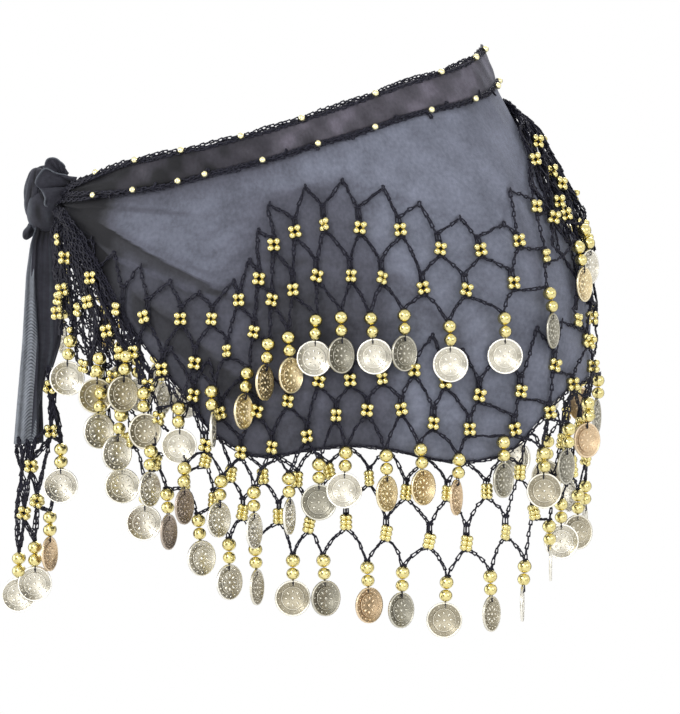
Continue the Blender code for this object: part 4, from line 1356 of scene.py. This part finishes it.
# crochet trims with single beads along both edges of the waistband
trims = {
    "beads": {
        "top": (23, 37, 51, 69, 89, 115, 139, 157, 170, 190, 210, 230, 251, 272, 291, 308, 323, 337),
        "band": (24, 37.5, 50.5, 58, 75, 93, 112, 131, 148, 165, 182, 201, 220, 240, 260, 279, 297, 313,
                 327, 340),
    },
    "picots": {29: -3, 43: 2.5, 58: 3, 66: -2.5, 82: 2.5, 92: -3, 104: -2.5, 119: 2.5, 130: -4, 137: 2.5,
               152: 3.5, 160: -3, 205: -3, 233: 3, 262: -3, 281: 2.5, 301: 3, 319: -3},  # angle: height
    "start": 5, "end": 355, "step": 1.38, "gather": (40, 322), "twist": 30,
}


def edgeChain(edge, rise, out, arcs=0.0, start=0.0):
    # a chain along an edge; arcs lifts it between the beads
    angles = np.arange(trims["start"] + start, trims["end"], trims["step"])
    beads = np.array(trims["beads"][edge], float)
    after = np.searchsorted(beads, angles).clip(1, len(beads) - 1)
    share = (angles - beads[after - 1]) / (beads[after] - beads[after - 1])
    lift = arcs * np.sin(math.pi * np.clip(share, 0, 1))
    wobble = np.array([chance.uniform(-0.25, 0.25) for _ in angles])
    return chainOn(angles, edgeHeight(edge, angles) + rise + lift + wobble, out)


def edgeGather(edge, rises):
    # chains that run together where the edge goes into the knot
    chains = []
    for number, rise in enumerate(rises):
        near, far = trims["gather"]
        for first, last in ((trims["start"], near - 7 * number), (trims["end"], far + 7 * number)):
            angles = np.linspace(first, last, round(abs(last - first) / trims["step"]) + 1)
            close = 1 - smooth(np.abs(angles - first) / abs(last - first))
            heights = edgeHeight(edge, angles) - 1.5 + (rise + 1.5) * np.sqrt(1 - (1 - close) ** 2)
            chains.append(chainOn(angles, heights, 3.0 + 0.5 * number))
    return chains


def buildTrim(edge, chains, beadRise, beadOut, picots):
    for angle, tall in picots.items():
        height = float(edgeHeight(edge, angle)) + beadRise
        chains.append(np.array(((angle, height, beadOut), (angle + 0.7, height + tall, beadOut))))
    trim = scatter(edge + "Trim", "link", *chainFrames(chains, trims["twist"], hipPoint), yarn)
    angles = np.array(trims["beads"][edge], float)
    at = hipPoint(angles, edgeHeight(edge, angles) + beadRise, beadOut + 1.2)
    beads = scatter(edge + "TrimBeads", "smallBead", at, plainAxes(at), beadPale)
    return settle(trim, "crochet", "trim_" + edge), settle(beads, "coins")


topChains = [edgeChain("top", -2.8, 2.1), edgeChain("top", -1.9, 0.8, start=0.7),
             edgeChain("top", -1.2, 1.5, 1.1), *edgeGather("top", (-3.8, -4.8, -5.9))]
topTrim, topTrimBeads = buildTrim("top", topChains, -1.3, 2.0, {})
bandChains = [edgeChain("band", -0.6, 2.2), edgeChain("band", -1.7, 1.6, -0.3, 0.7),
              *edgeGather("band", (1.0, 2.2, -2.6))]
bandTrim, bandTrimBeads = buildTrim("band", bandChains, -0.6, 2.6, trims["picots"])
print("trims worked")


# the knot: gathered cloth in flaps and rolls, each a closed or open shell
knotCloth = {
    "wall": 0.8, "flapGrid": (36, 14), "rollGrid": (48, 20), "flapWidth": 45,
    "flapShade": (0.6, 0.08, 0.42, 0.35),  # whole, painted light and shade on the pleats, a painted highlight at the rim, painted shade in the gathers
    "rollShade": (0.66, 0.16, 0.2, 0.25),  # whole, painted light and shade on the ridges, painted shade below, painted light on the lit side
}
knotRims = {  # each flap: where it is gathered, then its rim as (x, z), depth there, bulge and pleats
    "innerPetal": {
        "apex": (-147, -6, -30), "depth": (-6, -8, -8, -7, -8, -9), "bulge": 2.0,
        "rim": ((-144.5, -26.5), (-148.5, -21), (-152.2, -18.4), (-156.2, -18.2), (-158.6, -22),
                (-159.4, -27)),
        "pleats": (8, 0.8), "curl": 1.0,
    },
    "upperPetal": {
        "apex": (-140.5, -9, -33), "depth": (-9, -11, -12.5, -14, -15, -14.5, -13), "bulge": 3.6,
        "rim": ((-139.5, -28.8), (-145.5, -28.2), (-152, -27), (-157.5, -24.5), (-161.3, -28.2),
                (-163.4, -33), (-161.0, -35.8)),
        "pleats": (3, 0.35), "curl": 1.8,
    },
    "lowerPetal": {
        "apex": (-140.8, -9, -34.5), "depth": (-13, -14.5, -15.5, -15.5, -14, -12, -10), "bulge": 3.6,
        "rim": ((-161.2, -35.4), (-159.0, -38.0), (-157.4, -41.5), (-157.6, -45), (-154.6, -46.8),
                (-151, -44.6), (-145, -39.5)),
        "pleats": (3, 0.35), "curl": 1.8,
    },
}
knotRolls = {  # each roll: middle, half sizes, tilt in degrees, ridges and their height, pointedness
    "wrap": {"middle": (-158.5, -3.5, -48.5), "half": (11.0, 15.5, 12.8), "tilt": -8, "ridges": (5, 0.35)},
    "core": {"middle": (-149.5, 0, -40), "half": (8.5, 12.5, 13), "tilt": 20, "ridges": (9, 0.7)},
    "sideLobe": {"middle": (-164, -2.0, -38.5), "half": (6.6, 11, 15.5), "tilt": 4, "ridges": (8, 0.6)},
    "innerLoop": {"middle": (-161.3, -9.5, -41), "half": (2.9, 4.2, 8), "tilt": 14, "ridges": (4, 0.5)},
    "backLobe": {"middle": (-158, 9.5, -36), "half": (9, 6.5, 15), "tilt": -10, "ridges": (8, 0.8)},
    "backTuck": {"middle": (-151, 9, -49), "half": (8, 6, 9), "tilt": 30, "ridges": (6, 0.7)},
    "tab": {"middle": (-167.6, -4, -59.5), "half": (2.8, 6.5, 6.0), "tilt": 30, "ridges": (3, 0.5)},
}


def placeFlap(flap):
    def place(u, v):
        rim = np.array([(x, y, z) for (x, z), y in zip(flap["rim"], flap["depth"])])
        reach = splineThrough(rim, u) - flap["apex"]
        points = flap["apex"] + reach * (1 - (1 - v[..., None]) ** 1.25)
        count, tall = flap["pleats"]
        pleat = np.sin(u * count * math.pi + 0.5) * np.sin(math.pi * np.clip(v, 0, 1)) ** 0.7
        turned = rising(v, 0.9, 0.1)
        points[..., 1] -= flap["bulge"] * np.sin(math.pi * np.clip(v * 0.82, 0, 1)) ** 0.8 + tall * pleat
        points[..., 1] -= flap["curl"] * turned * np.sin(math.pi * np.clip(u, 0.08, 0.92))
        whole, pleated, lit, gathered = knotCloth["flapShade"]
        shade = whole - pleated * pleat - lit * turned + gathered * (1 - smooth(v * 2.2))
        flat = np.stack((u * knotCloth["flapWidth"], v * np.linalg.norm(reach, axis=-1)), axis=-1)
        return points, flat, shade
    return place


def placeRoll(roll):
    half, middle = np.array(roll["half"], float), np.array(roll["middle"], float)
    tilt = math.radians(roll["tilt"])
    count, tall = roll["ridges"]

    def place(u, v):
        around = u * 2 * math.pi
        down = np.clip(0.04 + 0.92 * v, 0, 1) * math.pi
        ring = np.sin(down) ** 0.75
        ridge = (np.cos(around * count + 1.5 * np.sin(down * 2))
                 + 0.5 * np.cos(around * (count * 2 - 1) + down * 3)) * ring * tall
        x = (half[0] + ridge) * np.cos(around) * ring
        y = -(half[1] + ridge) * np.sin(around) * ring
        z = half[2] * np.cos(down)
        turned = np.stack((x * math.cos(tilt) + z * math.sin(tilt), y,
                           -x * math.sin(tilt) + z * math.cos(tilt)), axis=-1)
        whole, ridged, below, lit = knotCloth["rollShade"]
        shade = whole - ridged * ridge / tall + below * smooth(v - 0.5) - lit * bell(u - 0.47, 0.1)
        flat = np.stack((around * half[:2].mean(), v * half[2] * 3), axis=-1)
        return turned + middle, flat, shade
    return place


petals = joinPieces("knotPetals", [
    clothGrid(name, *knotCloth["flapGrid"], placeFlap(flap), knotChiffon, knotCloth["wall"],
              lambda point: (0, 1, 0))
    for name, flap in knotRims.items()])
rolls = joinPieces("knotRolls", [
    clothGrid(name, *knotCloth["rollGrid"], placeRoll(roll), knotChiffon, knotCloth["wall"],
              lambda point, middle=roll["middle"]: np.array(middle) - np.array(point))
    for name, roll in knotRolls.items()])
settle(petals, "chiffon_double")
settle(rolls, "chiffon_double", "knot")
print("knot tied")


# the two ends that hang from the knot, pleated flat, with their small nets
tail = {
    "columns": 126, "rows": 40,
    "z": (-58, -68.5, -85, -125, -160, -183), "centre": (-159, -160.8, -161.6, -162.5, -166, -168.4),
    "halfWidth": (4.5, 5.8, 7.2, 8.5, 8.0, 7.4), "halfDepth": (4, 5.5, 7, 8.5, 8.5, 9),
    "layers": 7, "layerWidth": 14, "wall": 0.7, "beadOut": 3.2, "coinOut": 2.6,
    # how far the folds reach sideways at each level: the light sheet's right edge, and the darker ones
    "levels": (-183, -160, -125, -85, -58), "sheet": (0.95, 0.5, 0.1, -0.3, -0.5),
    "darker": (1.0, 1.35, 1.65, 1.7, 1.6), "shorter": 44,
    "grain": (-166, 3.6),  # where the moire runs, and its half width
}
tailSides = {  # the middle's y, which way it faces, and which way each coin faces
    "front": {"middle": -10, "towards": -1, "yaws": (5, 12, 68, 8)},
    "back": {"middle": 10, "towards": 1, "yaws": (185, 206, 276, 230)},
}
tailNet = {  # nodes as places in the front view, strands between them, and where coins hang
    "depth": 18,
    "nodes": {
        "a": (18, 437), "b": (27, 440), "c": (36, 437), "d": (48, 366), "e": (50, 387), "f": (22, 470),
        "g": (31, 466), "h": (51, 431), "i": (17, 508), "j": (24, 513), "k": (37, 501), "l": (61, 443),
        "m": (19, 552), "n": (35, 541), "o": (50, 511), "p": (57, 366),
    },
    "flowers": "eghjk",
    "pairs": "abcdep",  # strands from these are doubled
    "strands": ("af", "bf", "bg", "cg", "de", "eh", "ph", "de", "pe", "ch", "fi", "fj", "gj", "gk",
                "hk", "hl", "im", "jm", "jn", "kn", "ko", "lo", "el", "hg"),
    "drops": "mnol", "finishes": (0, 0, 2, 0),
}


def placeTail(side):
    middle, towards = tailSides[side]["middle"], tailSides[side]["towards"]
    top, bottom = tail["z"][0], tail["z"][-1]
    grainX, grainWidth = tail["grain"]

    def place(u, v):
        # the light sheet goes from left to right, and the darker folds go to and fro behind it
        phase = u * tail["layers"]
        step = np.minimum(phase.astype(int), tail["layers"] - 1)
        share = phase - step
        light = phase < 1
        sheet, darker = (np.interp(top + (bottom - top) * v, tail["levels"], tail[name])
                         for name in ("sheet", "darker"))
        left = np.full(len(u), -1.0)
        edges = np.stack((left, sheet, left * 0.9, darker, left * 0.8, darker * 0.94, left * 0.85,
                          darker * 0.9))
        first, second = edges[step, np.arange(len(u))], edges[step + 1, np.arange(len(u))]
        swing = 0.35 * (1 - np.cos(math.pi * share)) / 2 + 0.65 * share
        rightwards = first + (second - first) * swing
        shorter = tail["shorter"] * rising(rightwards, -0.1, 0.9) * (phase > 1.9)
        z = top + (bottom - top + shorter) * v
        centre, wide, deep = (np.interp(-z, -np.array(tail["z"]), tail[name])
                              for name in ("centre", "halfWidth", "halfDepth"))
        x = centre + wide * rightwards
        ripples = np.sin(rightwards * 9 + 0.02 * z + step) * np.sin(math.pi * share) ** 0.5
        ripples = ripples + 0.4 * np.sin(z * 0.09 + rightwards * 3) * smooth(v * 3)
        y = middle - towards * ((2 * u - 1) * (deep - 1) - ripples * np.where(light, 0.9, 0.5))
        streak = bell(rightwards + 0.62, 0.13) + 0.7 * bell(rightwards + 0.15, 0.1)
        shadeLight = (0.03 + 0.1 * np.sin(rightwards * 13 + 0.015 * z) - 0.06 * streak
                      + 0.12 * rising(-z, 150, 25) + 0.5 * bell(share - 0.97, 0.08))
        shadeDark = 0.56 + 0.1 * np.sin(rightwards * 11) - 0.14 * bell(rightwards - 0.9, 0.12)
        shade = np.where(light, shadeLight, shadeDark) + 0.3 * (1 - smooth(v * 6))
        aside = (x - grainX) / grainWidth
        ripple = 3.3 * z + 4.0 * grainWidth * np.sqrt(aside ** 2 + 0.12) + 1.2 * np.sin(z * 0.21)
        moire = rising(-z, 92, 22) * bell(aside, 1) * (0.75 + 0.25 * np.sin(z * 0.37 + 1)) * light
        flat = np.stack((u * tail["layers"] * tail["layerWidth"], z), axis=-1)
        return np.stack((x, y, z), axis=-1), flat, shade, ripple, moire
    return place


def straightChain(first, second, sag=0.0):
    # stitches between two points, with a little sideways bow
    count = max(1, round(float(np.linalg.norm(second - first)) / link["pitch"]))
    share = np.linspace(0, 1, count + 1)[:, None]
    points = first + (second - first) * share
    points[:, 0] += sag * np.sin(math.pi * share[:, 0])
    for point in points[1:-1]:
        point += [chance.uniform(-0.55, 0.55) for _ in range(3)]
    return points


def buildTailNet(towards):
    nodes = {name: seenAt(place, tailNet["depth"] * towards) for name, place in tailNet["nodes"].items()}
    foot = np.array((0, 0, flower["half"] * 0.8))
    chains, beads = [], []
    for first, second in tailNet["strands"]:
        start = nodes[first] - foot * (first in tailNet["flowers"])
        end = nodes[second] + foot * (second in tailNet["flowers"])
        for _ in range(2 if first in tailNet["pairs"] else 1):
            chains.append(straightChain(start, end, chance.uniform(-1.8, 1.8)))
    for name in tailNet["flowers"]:
        place = nodes[name]
        chains.append(straightChain(place + (0.5, 0, flower["half"]), place - (0.5, 0, flower["half"])))
        tilt = chance.uniform(-0.5, 0.5)
        for across in (-flower["across"], flower["across"]):
            for up in (-flower["upright"], flower["upright"]):
                beads.append(place + (across * math.cos(tilt) - up * math.sin(tilt),
                                      flower["forward"] * towards,
                                      across * math.sin(tilt) + up * math.cos(tilt)))
    return chains, beads, [nodes[name] for name in tailNet["drops"]]


for side, setting in tailSides.items():
    label = side.capitalize()
    sheet = clothGrid("tail" + label, tail["columns"], tail["rows"], placeTail(side), knotChiffon,
                      tail["wall"])
    outwards = np.array((0, setting["towards"], 0.0))
    chains, beads, points = buildTailNet(setting["towards"])
    net = scatter("tailNet" + label, "link", *stitchFrames(*stitchEnds(chains), outwards), yarn)
    smallBeads = scatter("tailBeads" + label, "smallBead", beads, plainAxes(beads), beadGold)
    beadCentres, coinCentres, coinAxes, loopEnds = [], [], [], []
    for point, yaw in zip(points, setting["yaws"]):
        beadCentres += [point + outwards * tail["beadOut"] - (0, 0, below) for below in drop["beads"]]
        centre = point + outwards * tail["coinOut"] - (0, 0, drop["coin"])
        coinCentres.append(centre)
        coinAxes.append(turnedAxes(facingAt(yaw), math.radians(chance.uniform(-6, 6))))
        loopEnds.append(coinLoop(centre, facingAt(yaw)))
    loopFrames = stitchFrames(*(np.array(values) for values in zip(*loopEnds)), 0)
    largeBeads = scatter("tailDropBeads" + label, "largeBead", beadCentres, plainAxes(beadCentres) * 0.97,
                         beadGold)
    loops = scatter("tailDropYarn" + label, "link", *loopFrames, yarn)
    coins = scatter("tailCoins" + label, "coin", coinCentres, np.array(coinAxes), *coinFinishes,
                    slots=tailNet["finishes"])
    settle(sheet, "chiffon_double", "tail_" + side)
    sewn = [settle(net, "crochet", "tail_net_" + side), settle(smallBeads, "coins"),
            settle(largeBeads, "coins"), settle(loops, "crochet"),
            settle(coins, "coins", "tail_coins_" + side)]
print("both ends hung")


# floor, light and camera
studio = {
    "floor": 3.5, "floorLevel": -0.9, "floorColour": (0.9, 0.9, 0.9, 1),
    # the surroundings' colours from the horizon up, which show in the metal
    "surroundings": ((0.0, (0.35, 0.34, 0.32)), (0.7, (1.0, 1.0, 1.0))),
    "ground": (1.0, 1.0, 1.0, 1),
    "aim": (0, 0, -0.1),
}
bpy.ops.mesh.primitive_circle_add(vertices=64, radius=studio["floor"], fill_type="NGON",
                                  location=(0, 0, studio["floorLevel"]))
floor = bpy.context.object
floor.name = "studioFloor"
pale, tree, shader = newMaterial("paleFloor")
setInputs(tree, shader, {"Base Color": studio["floorColour"], "Roughness": 0.8})
floor.data.materials.append(pale)

world = bpy.data.worlds.new("whiteStudio")
bpy.context.scene.world = world
world.use_nodes = True
sky = world.node_tree
direction = addNode(sky, "ShaderNodeTexCoord").outputs["Generated"]
height = addNode(sky, "ShaderNodeSeparateXYZ", {0: direction}).outputs["Z"]
seen = addNode(sky, "ShaderNodeLightPath").outputs["Is Camera Ray"]
colour = mixed(sky, seen, colourRamp(sky, height, studio["surroundings"]), studio["ground"])
setInputs(sky, sky.nodes["Background"], {"Color": colour, "Strength": 1.0})

lights = {  # place, size, power, and whether it only shows in the metal
    "front": ((-0.1, -3.1, 0.1), 2.2, 24, False),
    "key": ((-0.9, -1.6, 0.9), 0.5, 13, False),
    "fill": ((1.3, -1.4, 0.3), 0.9, 8, False),
    "back": ((0.4, 1.6, 0.9), 0.9, 12, False),
    "frontCard": ((-0.1, -3.0, 0.1), 2.2, 3.5, True),
    "leftCard": ((-2.3, 0.2, -0.1), 2.6, 42, True),
    "rightCard": ((2.3, 0.2, -0.1), 2.6, 14, True),
}
for name, (place, size, power, reflected) in lights.items():
    bpy.ops.object.light_add(type="AREA", location=place)
    lamp = bpy.context.object
    lamp.name = name + "Light"
    lamp.data.size = size
    lamp.data.energy = power
    lamp.visible_diffuse = not reflected
    towards = Vector(studio["aim"]) - Vector(place)
    lamp.rotation_euler = towards.to_track_quat("-Z", "Y").to_euler()

bpy.ops.object.camera_add(location=view["place"], rotation=(math.pi / 2, 0, 0))
camera = bpy.context.object
camera.data.lens = view["lens"]
camera.data.sensor_width = 36
camera.data.sensor_fit = "HORIZONTAL"
bpy.context.scene.camera = camera
bpy.context.scene.view_settings.view_transform = "Standard"
